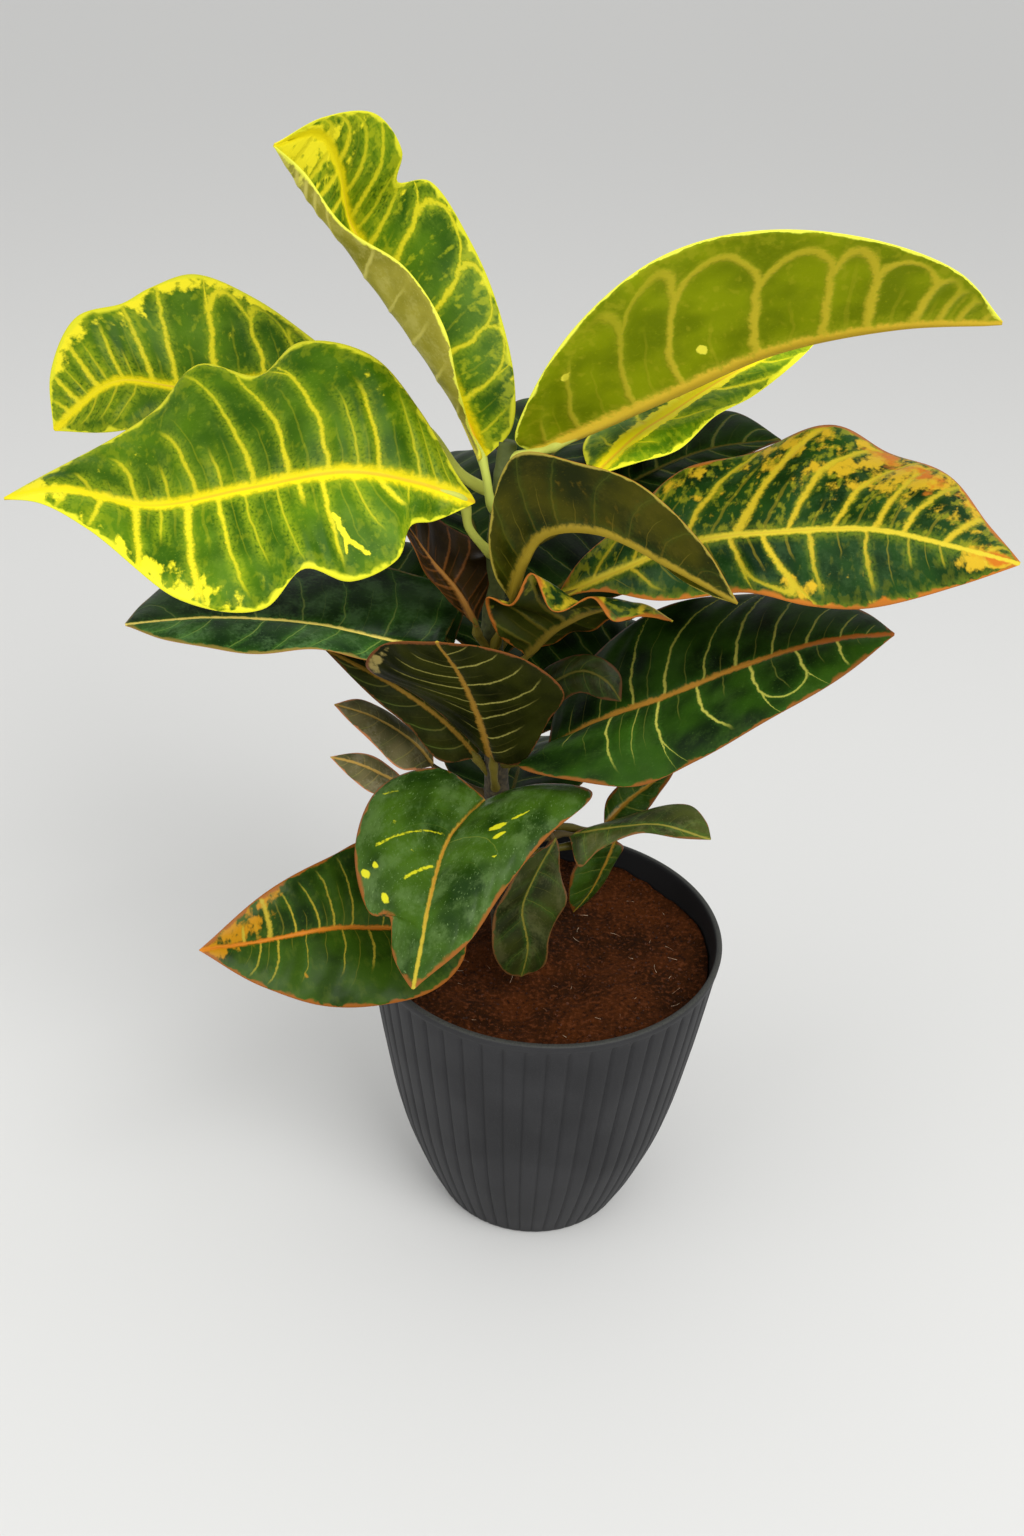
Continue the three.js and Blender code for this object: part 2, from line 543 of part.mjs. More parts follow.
// The blade as a closed sheet, split into triangles alike on both faces
function bladeGeometry(leaf) {
  const { base, rows, tip } = bladeSurface(leaf);
  const points = [base, ...rows.flat(), tip];
  const across = rows[0].length;
  const index = (row, column) => 1 + row * across + column;
  const tipIndex = points.length - 1;
  const faces = [];
  for (let column = 0; column < across - 1; column += 1) {
    faces.push([0, index(0, column + 1), index(0, column)]);
    faces.push([tipIndex, index(rows.length - 1, column), index(rows.length - 1, column + 1)]);
    for (let row = 0; row < rows.length - 1; row += 1) {
      const a = index(row, column);
      const b = index(row, column + 1);
      const c = index(row + 1, column + 1);
      const d = index(row + 1, column);
      if (column < (across - 1) / 2) faces.push([a, b, c], [a, c, d]);
      else faces.push([a, b, d], [b, c, d]);
    }
  }
  const normals = points.map(() => new THREE.Vector3());
  faces.forEach(([a, b, c]) => {
    const face = points[b].clone().sub(points[a]).cross(points[c].clone().sub(points[a]));
    [a, b, c].forEach((i) => normals[i].add(face));
  });
  normals.forEach((normal) => normal.normalize());
  const sheet = (side) => points.map((p, i) => p.clone().addScaledVector(normals[i], side));
  const vertices = [...sheet(BLADE / 2), ...sheet(-BLADE / 2)].flatMap((v) => v.toArray());
  const total = points.length;
  const triangles = [];
  faces.forEach(([a, b, c]) => triangles.push(a, b, c, a + total, c + total, b + total));
  const rim = [0];
  for (let row = 0; row < rows.length; row += 1) rim.push(index(row, across - 1));
  rim.push(tipIndex);
  for (let row = rows.length - 1; row >= 0; row -= 1) rim.push(index(row, 0));
  rim.forEach((a, i) => {
    const b = rim[(i + 1) % rim.length];
    triangles.push(b, a, a + total, b, a + total, b + total);
  });
  const geometry = new THREE.BufferGeometry();
  geometry.setAttribute('position', new THREE.Float32BufferAttribute(vertices, 3));
  geometry.setIndex(triangles);
  return geometry;
}

// The petiole, from the stem to the blade and then a way along under the rib
function petioleGeometry(leaf) {
  const rib = spline(leaf.rib);
  const under = [0.03, 0.12].map((s) => rib.getPointAt(s).toArray());
  const curve = spline([stemPointAt(leaf.root).toArray(), ...leaf.petiole, ...under]);
  const radius = (s) => PETIOLE_RADIUS * (s < 0.6 ? 1 : THREE.MathUtils.lerp(1, 0.4, (s - 0.6) / 0.4));
  return tube(curve, radius, 7, PETIOLE_SIDES);
}

function leafGeometry(leaf, stemSpace) {
  const blade = solidOf(bladeGeometry(leaf));
  const petiole = solidOf(petioleGeometry(leaf));
  return geometryOf(mainBody(blade.add(petiole).subtract(stemSpace)));
}

// The plant in its pot
const pottedCroton = new THREE.Group();

function place(name, geometry, colour, roughness) {
  const material = new THREE.MeshStandardMaterial({ color: colour, roughness, metalness: 0 });
  const mesh = new THREE.Mesh(geometry, material);
  mesh.name = name;
  pottedCroton.add(mesh);
}

const stemSpace = solidOf(stemGeometry(GAP, 24, 12));
const soil = solidOf(soilGeometry()).subtract(stemSpace);
place('pot', geometryOf(potSolid()), 0x3c3c3e, 0.6);
place('soil', geometryOf(mainBody(soil)), 0x4b230f, 0.95);
place('stem', stemGeometry(0, 16, 8), 0x6b6040, 0.8);
[...LEAVES, ...BACK_LEAVES.map(backLeaf)].forEach((leaf) => {
  place(leaf.name, leafGeometry(leaf, stemSpace), leaf.colour, 0.45);
});

export default pottedCroton;
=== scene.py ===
# Potted croton, dressed: leaves with their veins and colours, ribbed pot, soil and stem.
# The tables and driving dimensions are millimetres; Blender objects are metres, +Z up, -Y front.
import math
from itertools import combinations

import bpy
import numpy as np
from mathutils import Matrix, Vector


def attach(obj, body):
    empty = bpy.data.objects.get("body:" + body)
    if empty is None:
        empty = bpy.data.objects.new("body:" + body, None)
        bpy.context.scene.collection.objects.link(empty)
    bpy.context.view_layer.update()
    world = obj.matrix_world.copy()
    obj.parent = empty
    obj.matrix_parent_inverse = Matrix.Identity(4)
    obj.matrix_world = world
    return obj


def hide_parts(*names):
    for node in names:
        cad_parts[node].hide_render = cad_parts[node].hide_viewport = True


MM = 0.001
FULL_TURN = 2 * np.pi

# Pot, soil and stem, as in the part's source
RIM_RADIUS = 75
POT_HEIGHT = 137
BASE_RADIUS = 43.5
WALL = 2.4
LIP_DEPTH = 3
POT_FLOOR = 4
RIB_COUNT = 54
RIB_DEPTH = 0.9
SOIL_TOP = 125
SOIL_MOUND = 1.6
SOIL_CLEAR = 3.0
STEM_RADIUS_LOW = 6
STEM_RADIUS_HIGH = 3.4
STEM_PATH = [
    (-14, 4, 84), (-15, 4, 110), (-17, 3, 135), (-21, 1, 175),
    (-23, 0, 220), (-26, 0, 270), (-25, 1, 315), (-23, 2, 345),
]
POT_SIDE = [
    (0, BASE_RADIUS), (0.12 * POT_HEIGHT, 50.6), (0.35 * POT_HEIGHT, 60.7),
    (0.65 * POT_HEIGHT, 68.3), (POT_HEIGHT, RIM_RADIUS),
]

# Finer forms than the part's: grooves and ribs of the pot, scars on the stem, loose soil
GROOVE_WIDTH = 0.075
RIB_BELLY = 0.25
POINTS_PER_RIB = 10
POT_SIDE_RINGS = 70
POT_INNER_RINGS = 24
SOIL_COLUMNS = 220
SOIL_RINGS = 110
SOIL_WAVES = 40
SOIL_SEED = 5
CRUMB_COUNT = 1500
CRUMB_SEED = 11
CRUMB_LEAST = 0.16
CRUMB_SPREAD = 0.4
CRUMB_INSET = 1.5
FIBRE_COUNT = 45
FIBRE_SEED = 23
FIBRE_RADIUS = 0.1
FIBRE_LENGTHS = (1.5, 5.5)
FIBRE_BEND = 0.3
FIBRE_INSET = 5
FIBRE_LIFT = 0.35
STEM_GRID = (220, 28)
SCAR_WAYS = np.arange(0.28, 0.97, 0.045)
SCAR_HEIGHT = 0.35
SCAR_REACH = 0.006

# Leaf thickness at the rib and at the margin, and how far from the margin it starts to thin
BLADE_MIDDLE = 0.9
BLADE_EDGE = 0.45
THIN_FROM_EDGE = 4

# The stalk: its radius in the part and the share of it here, its swellings (way along it, reach,
# share of the full swelling), where its last part thins and by how much, and the ways along the
# rib where it runs on under the blade
PETIOLE_RADIUS = 1.7
STALK_SHARE = 0.9
SWOLLEN_END = 0.45
SWELLINGS = ((0.12, 0.1, 1), (0.62, 0.08, 0.6))
TAPER_FROM = 0.6
TAPER = 0.6
UNDER_BLADE = (0.03, 0.12)

# Relief of a blade: the groove over the rib, the keel under it, the ridge under a side vein, and
# how far from rib and margin the puckers fade in and at what spacing they are full
GROOVE_DEPTH = 0.7
GROOVE_REACH = 1.6
KEEL_DEPTH = 1.3
KEEL_REACH = 1.7
KEEL_TAPER = 0.75
RIDGE_HEIGHT = 0.3
RIDGE_REACH = 0.8
PUCKER_FROM_RIB = 5
PUCKER_FROM_EDGE = 6
PUCKER_SPACING = 9

# Rows and cells per half of a blade, for the leaves in front and for the rest, and the first row's
# way along the rib and the way from it to the last row
FINE_GRID = (130, 30)
PLAIN_GRID = (70, 16)
FINE_LEAVES = 17
FIRST_ROW = 0.004
ROWS_SPAN = 0.993
STALK_GRID = (36, 14)

# Side veins: one that never forks, the arch that joins two forks, the least gap between two, the
# greatest spacing that the material is told, and the wobble of their course and of the arches
NO_FORK = 9.0
ARCH_RISE = 0.28
ARCH_WOBBLE = 0.1
VEIN_GAP = 0.06
VEIN_SPACING_MAX = 30
VEIN_WOBBLE = 0.24
# How straight a vein leans, the least step from one to the next, the faint ones counted on beyond
# each end, and how far the ones that grow by rule are shifted and weighed at random
VEIN_STRAIGHT = 0.35
VEIN_STEP = 0.004
BEYOND = 3
VEIN_SHIFT = 0.16
VEIN_WEIGHTS = (0.55, 1.45)
STROKE_STEPS = 50
# Points of a margin whose distances are worked out at once
BATCH = 40
# What the stalk's points say instead of their distance to rib, margin and stroke
FAR = 20.0
NO_STROKE = 5.0
# Each leaf reads the noise at another place, this far from the last, and so does each stalk
LEAF_APART = 37.0
STALK_APART = 5.0
STALK_SPAN = 40
# How softly the brightness of the halves, partly painted light and shade, changes across the rib, in mm
LIGHT_AND_TONE_BLEND = 1.5
# The numbers of side veins that are kept together, three to a field
VEIN_FIELDS = dict(vein=("phase", "spacing", "weight"), ends=("reach", "fork", "by_rule"))

# Noise: scale per mm and detail
NOISE = dict(
    speckle=(0.9, 3.0), patches=(0.42, 4.0), blotch=(0.26, 4.0), rust=(0.17, 4.0), uneven=(0.13, 3.0),
    flecks=(1.7, 2.0), cloud=(0.06, 2.0), wobble=(0.11, 2.0), pot_grain=(2.2, 3.0), pot_cloud=(0.03, 3.0),
    groove_shade_patches=(0.25, 3.0), soil_crumbs=(0.6, 5.0), soil_cloud=(0.05, 3.0), soil_dust=(1.6, 3.0),
    bark=(0.5, 4.0), crumb=(0.3, 3.0), fibre=(0.4, 2.0),
)
# Soft steps: the number at which each is 0 and the one at which it is 1. First those on a leaf, of
# which near_edge, near_rib and stroke are distances in mm, then those on the rest.
STEPS = dict(
    faint_vein=(0.05, 0.3), ground=(0.3, 0.7), veiled=(0.55, 0.8), halo_mottle=(0.25, 0.6),
    near_edge=(12.0, 0.5), near_rib=(9.0, 1.0), netted=(0.56, 0.72), flecks=(0.64, 0.72), gold=(0.7, 0.82),
    rust=(0.72, 0.88), stroke=(0.55, 0.0), outward=(0.15, 0.9), slight=(1.6, 0.7), uneven=(0.34, 0.66),
    before_tip=(0.85, 0.55), rib_end=(0.45, 0.9), pot_cloud=(0.3, 0.7), pot_grain=(0.45, 0.8),
    groove_shade_patches=(0.3, 0.6), brim=(0.2, 0.6), soil_cloud=(0.35, 0.65), soil_top=(0.5, 0.68),
    painted_hollow_shade=(0.45, 0.3), bark=(0.35, 0.65), young=(0.6, 0.85), loose=(0.35, 0.65),
)
# Soft lines on a leaf: how many half widths from its middle each has ended, and is still full
LINES = dict(
    side_vein=(2.1, 0.4), between=(0.88, 0.33), margin=(1.3, 0.5), rib=(1.4, 0.45), rib_middle=(0.32, 0.06),
)
# A side vein fades from this far before its reach to this far past it. Even the slightest has this
# share of the full strength and of the full width.
FADE_BEFORE = 0.06
FADE_PAST = 0.16
LEAST_STRENGTH = 0.3
LEAST_WIDTH = 0.2
# Bumps: strength, and depth in metres
BUMPS = dict(leaf=(0.35, 0.0006), pot=(0.25, 0.0002), soil=(0.8, 0.0012), bark=(0.6, 0.0008))
LEAF_SHINE = 0.055
LEAF_COAT_ROUGH = 0.25

# Photo camera
CAMERA_PLACE = (0.0, -0.47708, 0.49521)
CAMERA_PITCH = math.radians(30.5)
CAMERA_YAW = math.radians(1.978)
CAMERA_ROLL = math.radians(2.5)
CAMERA_LENS = 32.81
SENSOR_HEIGHT = 36

# Soft lamps in metres and watts: name, place, size, power
LAMPS = [("window_light", (0.9, -1.2, 1.7), 1.2, 26), ("fill_light", (-1.4, -0.9, 1.0), 1.6, 8)]
LAMP_TARGET = (0, 0, 0.25)
FLOOR_REACH = 60


def linear(*rgb):
    """A colour given as 0 to 255 on a screen, as Blender's linear red, green, blue, alpha."""
    share = [c / 255 for c in rgb]
    return (*[c / 12.92 if c < 0.04 else ((c + 0.055) / 1.055) ** 2.4 for c in share], 1.0)


# Colours of all but the leaves
SHADES = {name: linear(*rgb) for name, rgb in dict(
    pot=(32, 32, 34), pot_light=(43, 43, 45), pot_grain=(70, 70, 72), painted_groove_shade=(27, 27, 29),
    pot_brim=(66, 67, 62), painted_inside_shade=(24, 24, 25), soil=(44, 20, 2), soil_light=(70, 33, 6),
    soil_top=(98, 52, 26), painted_hollow_shade=(28, 12, 6), crumb=(38, 17, 7), crumb_light=(88, 46, 22),
    fibre=(130, 80, 48), fibre_light=(206, 180, 150), bark=(46, 40, 24), bark_light=(78, 68, 44),
    bark_green=(86, 96, 44), floor=(218, 218, 216), room=(228, 228, 228),
).items()}


def leaf(name, root, swell, wave, petiole, rib, left, right, left_fold=None):
    """A leaf's curves. Its margins and its fold start and end where the rib does."""
    made = dict(name=name, root=root, swell=swell, wave=wave, petiole=petiole, rib=rib)
    for key, middle in (("left", left), ("right", right), ("left_fold", left_fold)):
        if middle:
            made[key] = [rib[0], *middle, rib[-1]]
    return made


# Leaves: the same curves as in the part's source. Rib and margins run from the blade's base to
# its tip, left and right seen with the upper face towards the reader and the tip up. Root is the
# height on the stem, swell the bulge of a half as a share of its width, wave the margin's ripple:
# its count, height and phase.
LEAVES = [
    leaf("leaf_tall", root=318, swell=0.04, wave=(2, 1, 0.5), petiole=[(-28, -2, 324), (-30, -1, 333)],
         rib=[(-31, 0, 339), (-39, 6, 353), (-52, 14, 374), (-66, 20, 392), (-80, 22, 411), (-83, 18, 429),
              (-88, 11, 440), (-101, 2, 437)],
         left=[(-36, -4, 350), (-39, -14, 367), (-43, -18, 387), (-58, -10, 403), (-79, 2, 414),
               (-92, 5, 429)],
         right=[(-22, 2, 349), (-22, 12, 364), (-30, 24, 388), (-40, 30, 406), (-54, 28, 425),
                (-64, 22, 425), (-62, 18, 435), (-70, 14, 446), (-86, 9, 445)],
         left_fold=[(-38, 0, 351), (-47, -4, 367), (-60, 0, 384), (-75, 8, 400), (-86, 12, 413),
                    (-95, 10, 426)]),
    leaf("leaf_left_back", root=325, swell=0.06, wave=(3, 1.2, 0), petiole=[(-39, 10, 329), (-53, 20, 342)],
         rib=[(-76, 32, 353), (-110, 38, 352), (-145, 36, 348), (-169, 28, 351), (-189, 14, 336)],
         left=[(-101, 30, 345), (-131, 26, 338), (-154, 22, 337), (-169, 16, 336)],
         right=[(-97, 48, 364), (-122, 56, 377), (-145, 56, 385), (-159, 48, 381), (-168, 42, 376),
                (-183, 34, 372), (-191, 24, 355)]),
    leaf("leaf_left_front", root=303, swell=0.05, wave=(3, 1, 1),
         petiole=[(-28, -6, 307), (-35, -10, 317), (-36, -12, 324)],
         rib=[(-32, -14, 328), (-53, -20, 336), (-75, -28, 341), (-106, -38, 337), (-137, -46, 332),
              (-163, -55, 339), (-180, -60, 337)],
         left=[(-46, -24, 324), (-53, -32, 325), (-56, -42, 317), (-71, -50, 311), (-85, -56, 317),
               (-97, -66, 307), (-123, -70, 310), (-151, -66, 331), (-167, -62, 337)],
         right=[(-39, -10, 335), (-53, -2, 355), (-71, 2, 372), (-95, 0, 376), (-108, -6, 366),
                (-127, -10, 369), (-140, -18, 356), (-150, -26, 350), (-166, -44, 343)]),
    leaf("leaf_right_arch", root=338, swell=0.03, wave=(2, 0.6, 0), petiole=[(-18, 0, 341)],
         rib=[(-15, 2, 342), (3, 5, 349), (33, 8, 363), (66, 6, 380), (103, -4, 392), (134, -14, 397)],
         left=[(5, 30, 347), (38, 46, 362), (72, 46, 381), (108, 24, 398)],
         right=[(-20, -6, 348), (-16, -10, 363), (-2, -14, 389), (21, -18, 411), (49, -20, 421),
                (84, -22, 422), (115, -20, 413)]),
    leaf("leaf_right_bright", root=318, swell=0.05, wave=(2, 1, 2), petiole=[(-11, 10, 321), (2, 14, 326)],
         rib=[(7, 16, 329), (23, 28, 342), (35, 40, 347), (55, 58, 356), (77, 72, 365), (96, 80, 373)],
         left=[(4, 36, 336), (19, 56, 345), (43, 78, 361), (70, 90, 372)],
         right=[(24, 16, 336), (38, 22, 339), (52, 36, 348), (67, 50, 354), (84, 66, 363)]),
    leaf("leaf_back_right", root=298, swell=0.05, wave=(2, 1, 1), petiole=[(-10, 16, 304)],
         rib=[(0, 22, 310), (26, 42, 321), (53, 60, 328), (81, 64, 332)],
         left=[(11, 50, 321), (42, 80, 333), (62, 84, 337)],
         right=[(26, 28, 317), (49, 42, 322), (66, 54, 328)]),
    leaf("leaf_right_blotched", root=276, swell=0.06, wave=(4, 1.6, 0.6), petiole=[(-13, -8, 286)],
         rib=[(-3, -12, 293), (16, -18, 306), (44, -26, 323), (72, -34, 331), (98, -44, 337),
              (119, -54, 337), (141, -62, 335)],
         left=[(5, -8, 306), (20, -4, 321), (40, 2, 338), (65, 4, 347), (90, 2, 356), (106, -6, 352),
               (124, -26, 349), (134, -46, 341)],
         right=[(12, -20, 300), (33, -30, 302), (60, -40, 311), (81, -48, 311), (99, -54, 314),
                (124, -60, 326)]),
    leaf("leaf_centre_curl", root=265, swell=0.04, wave=(2, 0.6, 0), petiole=[(-22, -10, 279)],
         rib=[(-19, -16, 293), (-15, -22, 310), (-8, -28, 323), (10, -38, 329), (35, -46, 321),
              (57, -52, 312)],
         left=[(-14, -10, 306), (-5, -10, 321), (12, -18, 329), (32, -34, 317), (48, -48, 313)],
         right=[(-25, -20, 304), (-27, -24, 322), (-19, -28, 350), (1, -36, 351), (22, -42, 347),
                (43, -48, 331)]),
    leaf("leaf_centre_ruffled", root=250, swell=0.05, wave=(4, 1.2, 0), petiole=[(-19, -8, 260)],
         rib=[(-13, -12, 270), (-2, -17, 284), (13, -21, 294), (27, -22, 297), (39, -22, 291)],
         left=[(-1, -4, 273), (17, -6, 282), (29, -14, 289)],
         right=[(-23, -21, 282), (-27, -26, 297), (-19, -29, 297), (-12, -29, 309), (-4, -32, 297),
                (9, -30, 302), (17, -32, 294), (27, -28, 295)]),
    leaf("leaf_left_brown", root=264, swell=0.04, wave=(2, 0.8, 0), petiole=[(-31, -8, 275)],
         rib=[(-32, -9, 279), (-39, -12, 293), (-49, -14, 306), (-59, -14, 321)],
         left=[(-28, -4, 291), (-28, 2, 303), (-41, 6, 310), (-53, 0, 319)],
         right=[(-42, -14, 291), (-49, -20, 304), (-55, -22, 316)]),
    leaf("leaf_left_dark", root=244, swell=0.06, wave=(3, 1, 0), petiole=[(-31, -2, 256), (-38, -4, 264)],
         rib=[(-45, -6, 267), (-61, -8, 270), (-91, -12, 277), (-126, -18, 280), (-157, -26, 279)],
         left=[(-58, -20, 268), (-86, -30, 275), (-119, -34, 275), (-140, -32, 277)],
         right=[(-40, 10, 282), (-65, 22, 286), (-111, 26, 286), (-143, 14, 285), (-154, -8, 281)]),
    leaf("leaf_right_dark", root=216, swell=0.06, wave=(3, 1, 0), petiole=[(-12, -8, 222)],
         rib=[(-3, -10, 229), (16, -14, 245), (40, -16, 258), (68, -18, 274), (95, -20, 286),
              (117, -22, 291)],
         left=[(1, 6, 242), (19, 20, 263), (49, 26, 279), (81, 18, 287), (107, -4, 292)],
         right=[(-13, -22, 228), (6, -36, 232), (31, -42, 234), (50, -44, 248), (79, -42, 268),
                (101, -34, 282)]),
    leaf("leaf_centre_cupped", root=203, swell=0.04, wave=(2, 0.6, 0), petiole=[(-23, -8, 213)],
         rib=[(-24, -11, 223), (-29, -22, 248), (-35, -36, 272), (-42, -50, 291)],
         left=[(-40, -14, 241), (-56, -24, 259), (-68, -38, 275), (-60, -46, 287)],
         right=[(-13, -18, 227), (-3, -26, 250), (2, -36, 268), (-10, -46, 283), (-27, -50, 290)]),
    leaf("leaf_left_inner", root=206, swell=0.04, wave=(2, 0.6, 0), petiole=[(-27, -2, 214)],
         rib=[(-30, -2, 219), (-42, -4, 234), (-60, -6, 249), (-89, -8, 266)],
         left=[(-44, -8, 220), (-56, -10, 235), (-70, -10, 247)],
         right=[(-31, 14, 232), (-48, 22, 244), (-70, 14, 260)]),
    leaf("leaf_front_low", root=195, swell=0.08, wave=(2, 0.8, 0), petiole=[(-23, -12, 205)],
         rib=[(-25, -20, 211), (-37, -44, 208), (-41, -74, 201), (-42, -92, 195), (-43, -108, 188)],
         left=[(-5, -20, 219), (15, -26, 221), (0, -46, 214), (-16, -68, 201), (-26, -86, 193),
               (-40, -104, 189)],
         right=[(-44, -14, 220), (-65, -26, 218), (-71, -52, 206), (-62, -76, 195), (-55, -80, 198),
                (-52, -92, 190), (-45, -105, 188)]),
    leaf("leaf_left_low", root=170, swell=0.06, wave=(3, 1, 0), petiole=[(-27, -16, 166)],
         rib=[(-32, -24, 163), (-56, -38, 161), (-80, -52, 169), (-108, -68, 172), (-125, -78, 175)],
         left=[(-31, -44, 151), (-46, -64, 148), (-78, -76, 151), (-101, -80, 161)],
         right=[(-43, -12, 181), (-70, -22, 191), (-83, -34, 190), (-102, -54, 188)]),
    leaf("leaf_soil_hanging", root=180, swell=0.06, wave=(3, 0.8, 0),
         petiole=[(-8, -14, 192), (0, -18, 196)],
         rib=[(3, -19, 195), (-4, -26, 183), (-9, -31, 169), (-6, -33, 152), (-8, -34, 137)],
         left=[(6, -16, 173), (8, -20, 166), (2, -28, 152), (1, -31, 141)],
         right=[(-11, -32, 188), (-18, -38, 175), (-20, -38, 154), (-14, -36, 140)]),
    leaf("leaf_right_small", root=180, swell=0.05, wave=(2, 0.6, 0), petiole=[(-4, 4, 179), (5, 10, 178)],
         rib=[(8, 12, 177), (30, 20, 177), (47, 26, 175), (69, 28, 168)],
         left=[(21, 22, 176), (38, 34, 176), (60, 40, 177), (67, 36, 172)],
         right=[(13, 4, 166), (21, 10, 171), (38, 20, 174), (56, 26, 169)]),
    leaf("leaf_right_low_back", root=183, swell=0.05, wave=(2, 0.6, 0),
         petiole=[(4, 20, 175), (17, 30, 168)],
         rib=[(23, 34, 168), (34, 44, 176), (45, 52, 182), (55, 60, 194)],
         left=[(24, 44, 175), (33, 54, 182), (44, 62, 190)],
         right=[(39, 38, 172), (47, 46, 179), (53, 54, 187)]),
    leaf("leaf_right_low_front", root=167, swell=0.05, wave=(2, 0.6, 0),
         petiole=[(-2, 10, 169), (20, 18, 170)],
         rib=[(28, 22, 169), (24, 22, 155), (19, 20, 143), (12, 16, 134)],
         left=[(32, 30, 159), (25, 30, 142), (19, 24, 135)],
         right=[(17, 14, 167), (10, 10, 159), (10, 10, 145)]),
    leaf("leaf_centre_small", root=229, swell=0.05, wave=(2, 0.5, 0), petiole=[(-18, -9, 238)],
         rib=[(-11, -13, 248), (-2, -16, 261), (9, -19, 268), (17, -22, 266), (23, -24, 259)],
         left=[(-7, -9, 261), (3, -12, 270), (14, -17, 273), (22, -20, 268)],
         right=[(-3, -20, 252), (8, -23, 261), (16, -25, 260)]),
    leaf("leaf_left_pink_high", root=199, swell=0.05, wave=(2, 0.6, 0), petiole=[(-37, 6, 202)],
         rib=[(-48, 8, 208), (-58, 12, 217), (-73, 16, 224), (-90, 18, 228)],
         left=[(-60, 2, 209), (-71, 6, 216), (-85, 14, 225)],
         right=[(-51, 14, 216), (-64, 22, 220), (-80, 24, 228)]),
    leaf("leaf_left_pink_low", root=185, swell=0.05, wave=(2, 0.6, 0), petiole=[(-46, 10, 188)],
         rib=[(-58, 12, 193), (-69, 16, 197), (-82, 20, 200), (-93, 22, 201)],
         left=[(-73, 10, 192), (-84, 17, 195)],
         right=[(-66, 20, 198), (-81, 25, 202)]),
]

# Leaves at the back, by rule, as in the part's source: height on the stem, heading, stalk and blade
# length, half width, and how steeply the stalk rises and the blade droops, in degrees. All share
# the bulge of a half, the margin's ripple and how far the margins are lifted.
BACK_SWELL = 0.06
BACK_WAVE = (2, 1, 0)
BACK_LIFT = 0.25
BACK_LEAVES = [
    dict(name="leaf_rear_top", z=312, heading=66, stalk=22, length=94, half=29, rise=22, droop=52),
    dict(name="leaf_rear_left_up", z=287, heading=108, stalk=24, length=102, half=28, rise=22, droop=48),
    dict(name="leaf_rear_right_mid", z=264, heading=56, stalk=22, length=110, half=40, rise=18, droop=44),
    dict(name="leaf_rear_left_mid", z=250, heading=138, stalk=24, length=98, half=28, rise=20, droop=36),
    dict(name="leaf_rear_middle", z=236, heading=98, stalk=26, length=112, half=31, rise=22, droop=50),
    dict(name="leaf_rear_low", z=205, heading=70, stalk=24, length=98, half=28, rise=20, droop=48),
    dict(name="leaf_rear_right_low", z=224, heading=46, stalk=20, length=84, half=27, rise=26, droop=44),
    dict(name="leaf_rear_base", z=172, heading=84, stalk=18, length=84, half=34, rise=14, droop=40),
]

# Looks: what one face of a leaf is coloured like. Widths are half widths in mm, amounts and
# strengths shares of full. dark, light: ground colours; veil: pale clouds painted on as the
# sheen of light, and the colour of the painted glints; between: short veins between the side veins;
# net: the fine net; ragged: how uneven a vein is; halo: the colour beside veins, rib and margin;
# yellow, orange: the spots.
BASE_LOOK = dict(
    veil_amount=0.25, vein_width=0.36, vein_thin=0.22, vein_strength=1.0, between=0.2, net=0.0, ragged=0.5,
    halo=(60, 100, 30), halo_width=2.5, halo_amount=0.3, rib_width=1.7, rib_tip=0.6, edge_width=0.5,
    edge_mottle=0.5, flecks=0.4, yellow=(225, 205, 60), orange=(205, 120, 45), stalk=(92, 84, 30),
    rough=0.5, coat=0.0,
)


def look(**changes):
    """A face's look, filled up from BASE_LOOK, with its colours as Blender takes them."""
    made = {**BASE_LOOK, **changes}
    made.setdefault("rib_middle", made["rib"])
    made.setdefault("rib_end", made["rib"])
    made["mottle"] = tuple(0.6 * a + 0.4 * b for a, b in zip(made["halo"], made["vein"]))
    return {key: linear(*value) if isinstance(value, tuple) else value for key, value in made.items()}


